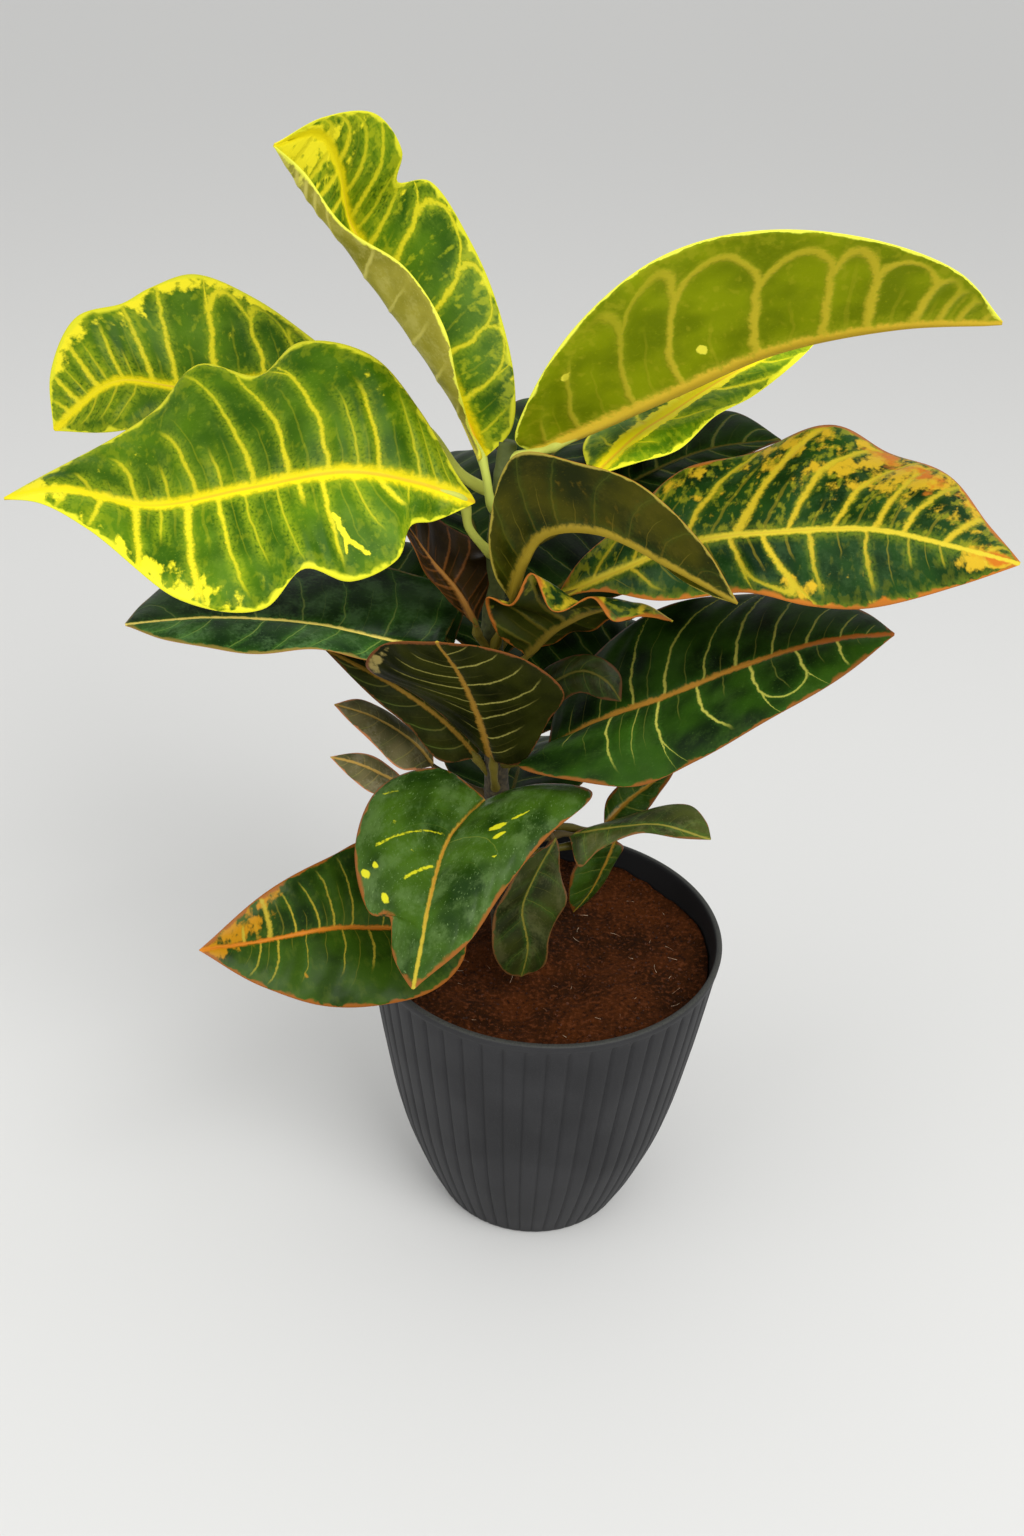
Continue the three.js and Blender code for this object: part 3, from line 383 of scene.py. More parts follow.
LOOKS = {
    "bright": look(
        dark=(44, 78, 4), light=(76, 110, 8), veil=(106, 134, 34), vein=(204, 194, 30), vein_width=0.66,
        vein_thin=0.38, between=0.25, net=0.8, ragged=1.7, halo=(134, 152, 16), halo_width=4.2,
        halo_amount=0.75, rib=(220, 204, 20), rib_middle=(214, 178, 36), rib_width=3.4, rib_tip=1.7,
        edge=(206, 204, 40), edge_width=1.2, edge_mottle=0.9, yellow=(224, 212, 36), orange=(226, 196, 60),
        stalk=(200, 208, 92), rough=0.42, coat=0.04),
    # The underside's colour, drawn lighter to paint the glow of light shining through the leaf
    "bright_under_painted_glow": look(
        dark=(92, 106, 2), light=(120, 132, 4), veil=(132, 140, 14), vein=(172, 158, 36), vein_width=0.95,
        vein_thin=0.7, vein_strength=0.9, between=0.3, net=0.5, ragged=1.6, halo=(128, 134, 16),
        halo_width=3.4, halo_amount=0.65, rib=(188, 158, 42), rib_middle=(194, 166, 52), rib_width=4.2,
        rib_tip=1.6, edge=(214, 216, 70), edge_width=0.6, edge_mottle=0.1, yellow=(214, 206, 60),
        orange=(200, 180, 60), stalk=(200, 206, 92)),
    "beige_under": look(
        dark=(124, 120, 34), light=(158, 150, 58), veil=(186, 178, 100), veil_amount=0.4,
        vein=(196, 188, 100), vein_width=0.8, vein_thin=0.5, between=0.4, halo=(170, 160, 66),
        halo_amount=0.2, rib=(210, 196, 66), rib_middle=(214, 198, 76), rib_width=1.6, rib_tip=0.8,
        edge=(222, 222, 76), edge_width=0.8, edge_mottle=0.1, yellow=(206, 200, 80), orange=(200, 180, 90),
        stalk=(196, 206, 92)),
    "golden": look(
        dark=(12, 38, 10), light=(34, 68, 20), veil=(60, 88, 48), veil_amount=0.35, vein=(206, 180, 42),
        vein_width=0.7, vein_thin=0.6, between=0.4, net=0.9, ragged=1.8, halo=(104, 122, 22),
        halo_width=2.8, halo_amount=0.7, rib=(210, 190, 50), rib_middle=(208, 180, 50), rib_width=1.75,
        edge=(178, 106, 36), edge_width=1.1, edge_mottle=0.9, yellow=(200, 164, 36), orange=(192, 110, 28),
        stalk=(140, 130, 50), rough=0.36, coat=0.08),
    "olive_under": look(
        dark=(28, 34, 0), light=(64, 62, 0), veil=(82, 76, 14), veil_amount=0.3, vein=(126, 108, 28),
        vein_width=0.5, vein_thin=0.3, vein_strength=0.3, between=0.3, ragged=0.9, halo_amount=0.1,
        rib=(146, 124, 32), rib_middle=(152, 130, 38), rib_width=2.4, rib_tip=0.9, edge=(160, 144, 56),
        edge_mottle=0.3, yellow=(84, 70, 6), orange=(100, 74, 20), stalk=(130, 116, 40)),
    "cupped_under": look(
        dark=(19, 22, 4), light=(42, 45, 7), veil=(54, 54, 19), vein=(158, 150, 76), vein_width=0.34,
        ragged=0.8, halo=(72, 74, 20), halo_amount=0.15, rib=(158, 118, 44), rib_middle=(164, 124, 50),
        rib_tip=0.7, edge=(108, 64, 32), edge_width=0.6, edge_mottle=0.4, yellow=(150, 134, 76),
        stalk=(92, 86, 30), rough=0.46),
    "inner_under": look(
        dark=(24, 28, 4), light=(48, 50, 8), veil=(60, 60, 22), vein=(104, 98, 42), vein_width=0.34,
        vein_strength=0.7, between=0.1, halo_amount=0.05, rib=(136, 104, 36), rib_width=1.1,
        edge=(96, 62, 30), edge_mottle=0.3, stalk=(92, 86, 30), rough=0.46),
    "dark_under": look(
        dark=(30, 36, 6), light=(54, 58, 12), veil=(70, 66, 18), vein=(104, 92, 28), vein_width=0.5,
        vein_thin=0.3, vein_strength=0.6, ragged=0.9, halo_amount=0.1, rib=(124, 104, 34),
        rib_middle=(128, 108, 36), rib_tip=0.7, edge=(166, 96, 34), edge_width=0.8, edge_mottle=0.4,
        yellow=(112, 110, 26), orange=(196, 106, 34), stalk=(110, 96, 36), rough=0.45),
    "brown_under": look(
        dark=(28, 18, 4), light=(50, 34, 8), veil=(62, 44, 16), vein=(104, 62, 24), vein_strength=0.75,
        between=0.3, ragged=0.8, halo=(70, 42, 12), halo_amount=0.1, rib=(146, 98, 42),
        rib_middle=(150, 104, 46), rib_width=1.4, rib_tip=0.5, edge=(80, 46, 18), stalk=(122, 108, 42),
        rough=0.45),
    "deep": look(
        dark=(26, 52, 8), light=(66, 98, 24), veil=(104, 132, 74), veil_amount=0.4, vein=(164, 168, 66),
        vein_width=0.25, vein_thin=0.15, vein_strength=0.35, between=0.1, ragged=0.6, rib=(190, 150, 50),
        rib_middle=(196, 132, 46), rib_end=(192, 172, 52), rib_width=1.3, edge=(146, 88, 32),
        edge_width=1.0, edge_mottle=0.7, flecks=0.8, yellow=(214, 210, 36), orange=(200, 124, 40),
        stalk=(104, 94, 36), rough=0.36, coat=0.16),
    "deep_pale_veins": look(
        dark=(12, 28, 6), light=(38, 68, 10), veil=(58, 86, 30), vein=(172, 168, 70), vein_width=0.42,
        vein_thin=0.26, between=0.3, net=0.1, ragged=0.8, rib=(172, 124, 44), rib_middle=(176, 124, 48),
        rib_end=(156, 86, 30), rib_tip=1.2, edge=(124, 76, 30), edge_width=0.8, edge_mottle=0.6, rough=0.42,
        coat=0.04),
    "deep_plain": look(
        dark=(12, 26, 6), light=(30, 54, 10), veil=(50, 74, 28), vein=(112, 116, 50), vein_strength=0.7,
        between=0.1, ragged=0.8, rib=(98, 92, 34), rib_width=1.1, edge=(84, 62, 26), edge_mottle=0.4,
        stalk=(84, 80, 30), rough=0.45),
    "deep_cream_rib": look(
        dark=(10, 28, 8), light=(32, 58, 18), veil=(66, 92, 54), veil_amount=0.5, vein=(120, 132, 62),
        vein_thin=0.2, vein_strength=0.6, between=0.1, ragged=0.8, rib=(190, 172, 84),
        rib_middle=(196, 180, 92), rib_width=1.0, edge=(96, 84, 36), edge_width=0.7, rough=0.4, coat=0.06),
    "deep_orange_veins": look(
        dark=(22, 42, 6), light=(52, 80, 12), veil=(60, 90, 22), veil_amount=0.12, vein=(178, 158, 46),
        vein_width=0.38, vein_thin=0.26, between=0.4, net=0.35, ragged=0.9, rib=(200, 122, 32),
        rib_middle=(200, 120, 38), rib_width=1.4, rib_tip=0.9, edge=(150, 88, 30), edge_width=0.9,
        edge_mottle=0.6, yellow=(180, 126, 14), orange=(164, 92, 6), rough=0.4, coat=0.08),
    "deep_under": look(
        dark=(24, 36, 8), light=(38, 50, 12), veil=(58, 64, 24), vein=(96, 90, 34), vein_width=0.35,
        vein_thin=0.25, vein_strength=0.6, rib=(128, 98, 38), rib_width=1.5, rib_tip=0.4,
        edge=(136, 84, 38), edge_width=0.6),
    "dusky": look(
        dark=(50, 48, 28), light=(80, 74, 48), veil=(108, 100, 78), veil_amount=0.5, vein=(134, 110, 62),
        vein_width=0.3, vein_thin=0.25, vein_strength=0.5, halo_amount=0.05, rib=(132, 106, 52),
        rib_width=0.8, rib_tip=0.4, edge=(136, 88, 56), stalk=(78, 66, 38)),
    "dusky_green": look(
        dark=(30, 36, 12), light=(54, 60, 20), veil=(88, 88, 52), veil_amount=0.45, vein=(130, 126, 44),
        vein_width=0.3, vein_thin=0.25, vein_strength=0.6, rib=(112, 106, 38), rib_width=0.7, rib_tip=0.4,
        edge=(104, 70, 36), edge_width=0.6, stalk=(84, 70, 34), rough=0.42, coat=0.04),
}

# How each leaf is dressed.
# faces: the looks of its upper face and underside.
# veins: its side veins on the left and the right half, as (start, lean, reach, weight, fork) each,
# or how many grow by rule. Start and lean are shares of the blade's length, reach and fork shares
# of its half width; at its fork a vein joins its neighbours in arches.
# slant, reach, arch, faint: lean, reach, fork and weight of the veins that grow by rule.
# net: strength of the fine net, or one for each half. painted_light_and_tone: brightness of the two halves,
# partly the leaf's own tone and partly painted light and shade.
# pucker: relief between the side veins, in mm.
# spots: way along, way across (-1 left margin, 1 right margin), two radii as shares, yellow
# strength, orange strength.
# strokes: thin pale lines, from way along and across to way along and across, and half width.
PLAIN_DRESS = dict(
    slant=0.12, reach=0.9, arch=NO_FORK, faint=1.0, net=1.0, painted_light_and_tone=(1.0, 1.0), pucker=0.5, spots=(),
    strokes=(),
)
DRESS = {
    "leaf_tall": dict(
        faces=("bright", "beige_under"), painted_light_and_tone=(1.15, 1.15), pucker=0.2,
        veins=([(0.1, 0.1, 0.8, 0.9), (0.22, 0.1, 0.8, 0.8), (0.33, 0.1, 0.8, 0.9), (0.43, 0.1, 0.8, 0.7),
                (0.53, 0.12, 0.9, 0.9), (0.62, 0.18, 0.97, 0.7), (0.7, 0.14, 0.9, 0.9),
                (0.75, 0.12, 0.9, 1.0), (0.8, 0.1, 0.9, 0.9), (0.86, 0.1, 0.9, 0.9)],
               [(0.06, 0.08, 0.8, 0.6), (0.149, 0.07, 1.0, 1.1, 0.66), (0.258, 0.04, 1.0, 1.1, 0.7),
                (0.345, 0.1, 1.0, 1.2, 0.68), (0.493, 0.11, 1.0, 1.3, 0.62), (0.562, 0.08, 1.0, 0.9),
                (0.603, 0.06, 1.0, 0.6), (0.627, 0.14, 1.0, 1.0), (0.688, 0.13, 0.9, 0.8),
                (0.757, 0.08, 0.95, 1.0), (0.808, 0.06, 0.9, 0.9), (0.87, 0.04, 0.9, 0.9)]),
        spots=[(0.97, 0, 0.2, 1.2, 0.95, 0.1), (0.8, 0.9, 0.1, 0.3, 0.6, 0), (0.45, 1, 0.25, 0.22, 0.5, 0),
               (0.2, 1, 0.15, 0.14, 0.5, 0), (0.6, 0.9, 0.05, 0.5, 0.5, 0)]),
    "leaf_left_back": dict(
        faces=("bright", "bright_under_painted_glow"), net=0.6, painted_light_and_tone=(0.92, 1.0),
        veins=([(0.15, 0.14, 0.7, 0.35), (0.3, 0.14, 0.7, 0.35), (0.45, 0.14, 0.7, 0.35),
                (0.58, 0.14, 0.7, 0.35), (0.69, 0.14, 0.78, 0.35), (0.74, 0.16, 0.6, 0.35),
                (0.8, 0.16, 0.6, 0.35), (0.87, 0.14, 0.5, 0.35)],
               [(0.1, 0.1, 0.8, 0.9, 0.6), (0.2, 0.08, 0.8, 0.8, 0.6), (0.312, 0.06, 0.9, 1.1, 0.6),
                (0.453, -0.02, 0.95, 1.7, 0.62), (0.567, -0.02, 0.95, 1.2), (0.633, 0.0, 0.95, 1.1),
                (0.687, -0.04, 0.3, 0.3), (0.713, -0.04, 0.7, 0.9), (0.752, -0.02, 0.62, 0.35),
                (0.779, -0.02, 0.8, 1.3), (0.812, -0.01, 0.73, 0.3), (0.843, -0.01, 0.85, 1.3),
                (0.879, 0.01, 0.8, 0.9), (0.92, 0.01, 0.8, 0.9)]),
        spots=[(0.82, 1, 0.16, 0.36, 0.85, 0.25), (0.5, 1, 0.35, 0.18, 0.85, 0.2),
               (0.97, 0, 0.06, 1, 0.5, 0), (0.62, 0.8, 0.08, 0.25, 0.5, 0),
               (0.4, 0.5, 0.03, 0.12, 0.45, 0)]),
    "leaf_left_front": dict(
        faces=("bright", "bright_under_painted_glow"), net=0.35, painted_light_and_tone=(1.3, 1.0), pucker=0.8,
        veins=([(0.16, 0.02, 0.4, 0.4), (0.231, -0.2, 0.4, 1.5), (0.283, -0.1, 0.53, 0.35),
                (0.34, -0.03, 0.75, 1.1), (0.385, -0.04, 0.22, 0.9), (0.425, -0.05, 0.85, 0.35),
                (0.492, -0.06, 0.6, 0.3), (0.541, -0.05, 0.78, 0.9), (0.6, -0.02, 0.9, 1.9, 0.7),
                (0.652, -0.02, 0.38, 0.45), (0.698, -0.01, 0.95, 1.9, 0.72), (0.767, 0.03, 0.85, 1.1),
                (0.83, 0.03, 0.85, 0.8)],
               [(0.05, 0.1, 0.8, 0.3), (0.09, 0.11, 0.8, 0.35), (0.124, 0.12, 0.8, 0.6),
                (0.217, 0.14, 0.63, 1.2, 0.6), (0.258, 0.15, 0.52, 0.4), (0.316, 0.15, 0.95, 1.1, 0.62),
                (0.395, 0.13, 0.95, 1.0), (0.467, 0.14, 0.9, 0.9), (0.525, 0.14, 0.22, 0.6),
                (0.575, 0.15, 0.6, 0.8), (0.626, 0.13, 0.25, 0.5), (0.691, 0.12, 0.55, 0.8),
                (0.78, 0.1, 0.4, 0.5)]),
        spots=[(0.98, 0, 0.09, 1.0, 1.3, 0.1), (0.76, -1, 0.2, 0.1, 1.0, 0.1),
               (0.7, -0.9, 0.22, 0.3, 0.7, 0), (0.75, 0.5, 0.12, 0.4, 0.38, 0),
               (0.3, 0.8, 0.1, 0.2, 0.36, 0)],
        strokes=[(0.335, -0.4, 0.32, -0.6, 0.5), (0.32, -0.6, 0.316, -0.75, 0.2),
                 (0.32, -0.6, 0.28, -0.8, 0.2)]),
    "leaf_right_arch": dict(
        faces=("bright", "bright_under_painted_glow"), slant=0.08, reach=1.1, arch=0.62, painted_light_and_tone=(1.0, 1.4),
        veins=(11,
               [(0.04, 0.12, 0.6, 0.5, 0.7), (0.112, 0.13, 0.75, 0.7, 0.66), (0.233, 0.14, 0.95, 0.8, 0.62),
                (0.331, 0.15, 1.0, 1.1, 0.6), (0.498, 0.11, 1.0, 1.2, 0.48), (0.636, 0.05, 1.0, 1.3, 0.58),
                (0.715, 0.03, 1.0, 1.4, 0.56), (0.8, 0.05, 0.8, 1.3, 0.6), (0.842, 0.04, 0.75, 0.9, 0.6),
                (0.875, 0.03, 0.75, 0.9, 0.62), (0.92, 0.02, 0.7, 0.8, 0.65)]),
        spots=[(0.199, 0.77, 0.011, 0.045, 1.3, 0), (0.423, 0.22, 0.01, 0.045, 1.3, 0)]),
    # Both halves drawn brighter: painted light on a leaf that lies in the shade of leaf_right_arch
    "leaf_right_bright": dict(
        faces=("bright", "bright_under_painted_glow"), net=0.5, painted_light_and_tone=(1.5, 1.9),
        veins=([(0.12, 0.1, 0.6, 0.5), (0.25, 0.1, 0.6, 0.9), (0.4, 0.1, 0.6, 0.8), (0.6, 0.1, 0.6, 0.8),
                (0.8, 0.1, 0.6, 0.8)],
               [(0.15, 0.2, 0.5, 0.4), (0.3, 0.24, 0.7, 0.5), (0.5, 0.26, 0.8, 1.1), (0.7, 0.16, 0.7, 0.7),
                (0.85, 0.1, 0.7, 0.6)]),
        spots=[(0.3, 0, 0.5, 0.25, 1.3, 0)]),
    "leaf_back_right": dict(faces=("deep_plain", "deep_under"), veins=(8, 8), slant=0.1, painted_light_and_tone=(0.8, 0.8)),
    "leaf_right_blotched": dict(
        faces=("golden", "olive_under"), net=(1.0, 0.25), painted_light_and_tone=(1.0, 1.15),
        veins=([(0.1, 0.12, 0.8, 0.6), (0.2, 0.12, 0.8, 0.6), (0.321, 0.12, 0.95, 1.0),
                (0.424, 0.12, 0.95, 1.8), (0.527, 0.12, 0.95, 1.1), (0.613, 0.1, 0.95, 1.0),
                (0.69, 0.04, 0.9, 1.2), (0.741, 0.05, 0.9, 1.0), (0.824, 0.04, 0.9, 1.3),
                (0.9, 0.04, 0.8, 0.8)],
               [(0.2, 0.1, 0.7, 0.6), (0.32, 0.08, 0.7, 0.7), (0.414, 0.06, 0.85, 0.9, 0.55),
                (0.476, 0.11, 0.95, 1.15, 0.6), (0.571, 0.03, 0.75, 0.7), (0.678, 0.03, 0.7, 0.6),
                (0.76, 0.02, 0.4, 0.25), (0.817, 0.02, 0.42, 0.25), (0.9, 0.02, 0.5, 0.4)]),
        spots=[(0.636, -0.62, 0.06, 0.3, 0.6, 0.5), (0.69, -0.85, 0.07, 0.25, 0.5, 0.75),
               (0.776, -0.63, 0.03, 0.22, 0.6, 0.75), (0.5, -0.82, 0.12, 0.25, 0.7, 0.2),
               (0.3, -0.85, 0.15, 0.25, 0.55, 0.1), (0.4, -0.5, 0.25, 0.4, 0.42, 0),
               (0.95, 0.1, 0.08, 0.8, 0.75, 0.9), (0.56, 0.75, 0.07, 0.22, 0.7, 0),
               (0.726, 0.93, 0.035, 0.12, 0.6, 0.95), (0.6, 1, 0.12, 0.1, 0.6, 0.8),
               (0.88, -0.5, 0.06, 0.4, 0.6, 0), (0.66, -0.62, 0.28, 0.45, 0.66, 0.25),
               (0.74, -0.85, 0.26, 0.34, 0.7, 0.72), (0.95, 0.4, 0.1, 0.5, 0.8, 0.6),
               (0.6, 0.6, 0.16, 0.12, 0.5, 0)]),
    "leaf_centre_curl": dict(
        faces=("golden", "olive_under"), veins=(9, 9), slant=0.1, reach=1.1, faint=0.5, net=0,
        spots=[(0.6, 0.3, 0.4, 0.8, 0.4, 0)]),
    "leaf_centre_ruffled": dict(
        faces=("golden", "dark_under"), veins=(7, 7), slant=0.1, reach=1.1, painted_light_and_tone=(0.8, 1.0),
        spots=[(0.5, 1, 0.5, 0.3, 0.6, 0.5), (0.5, 0, 0.6, 1, 0.45, 0)]),
    "leaf_left_brown": dict(faces=("deep", "brown_under"), veins=(7, 7)),
    "leaf_left_dark": dict(
        faces=("deep_cream_rib", "deep_under"), veins=(8, 8), faint=0.5, painted_light_and_tone=(2.7, 1.0)),
    # The left half drawn darker: painted shade from leaf_right_blotched above it
    "leaf_right_dark": dict(
        faces=("deep_pale_veins", "deep_under"), net=0.3, painted_light_and_tone=(0.75, 1.3),
        veins=([(0.08, 0.2, 0.4, 0.3), (0.18, 0.22, 0.42, 0.4), (0.283, 0.11, 0.97, 1.0),
                (0.365, 0.2, 0.9, 1.1), (0.478, 0.16, 0.9, 0.7), (0.563, 0.08, 0.9, 1.1),
                (0.658, 0.06, 0.9, 0.9), (0.746, 0.07, 0.75, 0.8), (0.828, 0.04, 0.7, 0.6),
                (0.89, 0.03, 0.5, 0.3)],
               [(0.12, 0.12, 0.4, 0.5), (0.226, 0.13, 0.72, 0.9), (0.301, 0.08, 0.65, 0.35),
                (0.353, 0.12, 0.9, 1.0, 0.52), (0.455, 0.17, 0.73, 1.2), (0.603, 0.1, 0.95, 1.1, 0.55),
                (0.722, 0.07, 0.95, 1.0, 0.5), (0.821, 0.03, 0.75, 1.0)])),
    "leaf_centre_cupped": dict(
        faces=("cupped_under", "deep"),
        veins=([(0.22, 0.3, 0.3, 0.3), (0.364, 0.3, 0.34, 0.5), (0.46, 0.26, 0.5, 0.55),
                (0.571, 0.2, 0.62, 0.8), (0.66, 0.16, 0.62, 0.7), (0.75, 0.14, 0.5, 0.5)],
               [(0.08, 0.25, 0.55, 0.6), (0.187, 0.24, 0.55, 0.8), (0.331, 0.28, 0.62, 0.9),
                (0.443, 0.2, 0.78, 1.0), (0.592, 0.13, 0.78, 1.0), (0.745, 0.05, 0.8, 1.0),
                (0.865, 0.02, 0.83, 0.8)]),
        spots=[(0.72, -0.92, 0.12, 0.12, 0.8, 0)]),
    "leaf_left_inner": dict(faces=("inner_under", "deep"), veins=(6, 6), slant=0.24, faint=0.6),
    "leaf_front_low": dict(
        faces=("deep", "deep_under"),
        veins=([(0.08, 0.36, 0.8, 0.1), (0.2, 0.38, 0.8, 0.15), (0.315, 0.4, 0.58, 0.7),
                (0.43, 0.34, 0.7, 0.15), (0.56, 0.3, 0.7, 0.1), (0.7, 0.24, 0.7, 0.1)],
               [(0.05, 0.5, 0.8, 0.1), (0.15, 0.5, 0.8, 0.15), (0.252, 0.42, 0.62, 0.2),
                (0.36, 0.46, 0.6, 0.15), (0.46, 0.42, 0.26, 0.2), (0.6, 0.36, 0.6, 0.1),
                (0.75, 0.3, 0.6, 0.1)]),
        spots=[(0.368, -0.42, 0.02, 0.08, 1.1, 0), (0.348, -0.52, 0.008, 0.04, 0.9, 0),
               (0.42, -0.5, 0.02, 0.06, 0.85, 0), (0.52, -0.6, 0.01, 0.05, 0.8, 0),
               (0.66, 0.62, 0.024, 0.08, 0.95, 0), (0.593, 0.87, 0.016, 0.07, 0.9, 0),
               (0.56, 0.73, 0.012, 0.05, 0.9, 0), (0.454, 0.32, 0.008, 0.03, 0.9, 0),
               (0.4, 0.62, 0.01, 0.05, 0.8, 0), (0.6, 1, 0.18, 0.06, 0, 0.8)],
        strokes=[(0.3, 0.08, 0.5, 0.74, 0.02), (0.46, 0.05, 0.57, 0.34, 0.1),
                 (0.345, -0.5, 0.33, -0.6, 0.0), (0.3, 0.8, 0.34, 0.9, -0.2)]),
    "leaf_left_low": dict(
        faces=("deep_orange_veins", "deep_under"), net=0.5,
        veins=([(0.15, 0.14, 0.5, 0.5), (0.27, 0.15, 0.5, 0.5), (0.384, 0.16, 0.47, 1.0),
                (0.479, 0.14, 0.5, 0.7), (0.607, 0.1, 0.6, 0.4), (0.703, 0.08, 0.8, 0.9),
                (0.762, 0.07, 0.78, 0.8)],
               [(0.2, 0.1, 0.7, 0.6), (0.33, 0.1, 0.7, 0.6), (0.442, 0.08, 0.83, 0.9),
                (0.51, 0.09, 0.78, 0.9), (0.559, 0.11, 0.73, 0.8), (0.641, 0.08, 0.75, 0.9),
                (0.729, 0.03, 0.95, 2.4), (0.815, 0.02, 0.5, 1.2)]),
        spots=[(0.9, 0.5, 0.17, 0.85, 0.82, 0.45), (0.77, 0.85, 0.07, 0.25, 0.75, 0.4),
               (0.98, 0.0, 0.12, 1.0, 1.0, 0.65), (0.66, -0.6, 0.008, 0.08, 0.8, 0),
               (0.573, -0.63, 0.005, 0.03, 0.7, 0)]),
    "leaf_soil_hanging": dict(
        faces=("dusky_green", "dusky"), veins=(6, 6), slant=0.14, faint=0.2,
        strokes=[(0.5, 0.02, 0.78, 0.02, -0.2)]),
    "leaf_right_small": dict(
        faces=("dusky_green", "dusky"), veins=(6, 6), slant=0.14, faint=0.2, painted_light_and_tone=(1.9, 1.9)),
    "leaf_right_low_back": dict(faces=("deep", "deep_under"), veins=(6, 6), painted_light_and_tone=(0.6, 0.6)),
    "leaf_right_low_front": dict(faces=("deep", "deep_under"), veins=(6, 6), painted_light_and_tone=(0.6, 0.6)),
    "leaf_centre_small": dict(
        faces=("dusky_green", "deep_under"), veins=(6, 6), faint=0.3, painted_light_and_tone=(0.45, 0.45)),
    "leaf_left_pink_high": dict(faces=("dusky", "dusky"), veins=(6, 6), faint=0.4, painted_light_and_tone=(2.4, 2.4)),
    "leaf_left_pink_low": dict(faces=("dusky", "dusky"), veins=(6, 6), faint=0.4, painted_light_and_tone=(2.6, 2.6)),
}
BACK_DRESS = dict(faces=("deep_plain", "deep_under"), veins=(8, 8), faint=0.8, painted_light_and_tone=(1.0, 0.9))


# Curves
def spline(points, samples=60):
    """A centripetal Catmull-Rom curve, as a function of the share of its length."""
    p = np.array(points, float)
    p = np.vstack([2 * p[0] - p[1], p, 2 * p[-1] - p[-2]])
    steps = np.sqrt(np.linalg.norm(np.diff(p, axis=0), axis=1))
    way = np.linspace(0, 1, samples, endpoint=False)[:, None]
    pieces = []
    for i in range(len(p) - 3):
        x0, x1, x2, x3 = p[i:i + 4]
        d0, d1, d2 = steps[i:i + 3]
        t1 = ((x1 - x0) / d0 - (x2 - x0) / (d0 + d1) + (x2 - x1) / d1) * d1
        t2 = ((x2 - x1) / d1 - (x3 - x1) / (d1 + d2) + (x3 - x2) / d2) * d1
        bend = -3 * x1 + 3 * x2 - 2 * t1 - t2
        twist = 2 * x1 - 2 * x2 + t1 + t2
        pieces.append(x1 + t1 * way + bend * way ** 2 + twist * way ** 3)
    dense = np.vstack([*pieces, p[-2][None]])
    length = np.concatenate([[0], np.cumsum(np.linalg.norm(np.diff(dense, axis=0), axis=1))])
    share = length / length[-1]
    return lambda s: np.stack([np.interp(s, share, dense[:, k]) for k in range(dense.shape[1])], axis=-1)


stem_curve = spline(STEM_PATH)
stem_line, side_line = (curve(np.linspace(0, 1, 400)) for curve in (stem_curve, spline(POT_SIDE)))


def pot_radius(z):
    return float(np.interp(z, side_line[:, 0], side_line[:, 1]))


def stem_point_at(z):
    return stem_line[np.argmin(abs(stem_line[:, 2] - z))]


def unit(v):
    return v / np.maximum(np.linalg.norm(v, axis=-1, keepdims=True), 1e-9)


def turns(count):
    """Angles all the way round."""
    return np.linspace(0, FULL_TURN, count, endpoint=False)


# Meshes
def grid_faces(rows, columns, closed=False):
    """Quads of a grid of points, row after row. Closed joins the last column to the first."""
    across = np.arange(columns if closed else columns - 1)
    row = np.arange(rows - 1)[:, None] * columns
    a = row + across
    b = row + (across + 1) % columns
    return np.stack([a, b, b + columns, a + columns], axis=-1).reshape(-1, 4)


def tube_faces(rings, sides):
    """The faces of a tube of rings of points, closed at both ends."""
    first = list(range(sides))
    last = list(range((rings - 1) * sides, rings * sides))
    return [*grid_faces(rings, sides, closed=True).tolist(), first[::-1], last]


def make_piece(name, points, faces, fields=None, smooth=True):
    """A mesh object from points in mm, with numbers kept on its vertices for the material."""
    mesh = bpy.data.meshes.new(name)
    mesh.from_pydata((points * MM).tolist(), [], faces)
    for key, numbers in (fields or {}).items():
        numbers = np.asarray(numbers, np.float32)
        vector = numbers.shape[-1] == 3
        layer = mesh.attributes.new(key, "FLOAT_VECTOR" if vector else "FLOAT", "POINT")
        layer.data.foreach_set("vector" if vector else "value", numbers.ravel())
    mesh.polygons.foreach_set("use_smooth", [smooth] * len(mesh.polygons))
    mesh.update()
    piece = bpy.data.objects.new(name, mesh)
    bpy.context.scene.collection.objects.link(piece)
    return piece


def tube(curve, radius_at, steps, sides):
    """Points and faces of a tube along a curve, with the way along it for each point."""
    way = np.linspace(0, 1, steps + 1)
    centre = curve(way)
    ahead = unit(np.gradient(centre, axis=0))
    side = np.cross(ahead[0], [0.3, 0.2, 0.9])
    angle = turns(sides)[:, None]
    rings = []
    for c, a, s in zip(centre, ahead, way):
        side = unit(side - a * np.dot(side, a))
        rings.append(c + radius_at(s) * (np.cos(angle) * side + np.sin(angle) * np.cross(a, side)))
    return np.vstack(rings), tube_faces(steps + 1, sides), np.repeat(way, sides)


# Leaf blades
def side_veins(listed, clothes, rng):
    """The side veins of one half: start, lean, reach, weight and fork of each, and 1 if by rule."""
    if isinstance(listed, int):
        starts = (np.arange(listed) + 0.5 + rng.uniform(-VEIN_SHIFT, VEIN_SHIFT, listed)) / listed
        slant, reach, faint, fork = (clothes[key] for key in ("slant", "reach", "faint", "arch"))
        weights = [faint * rng.uniform(*VEIN_WEIGHTS) for _ in starts]
        return np.array([(a, slant, reach, weight, fork) for a, weight in zip(starts, weights)]), 1.0
    return np.array([(*vein, NO_FORK)[:5] for vein in listed]), 0.0


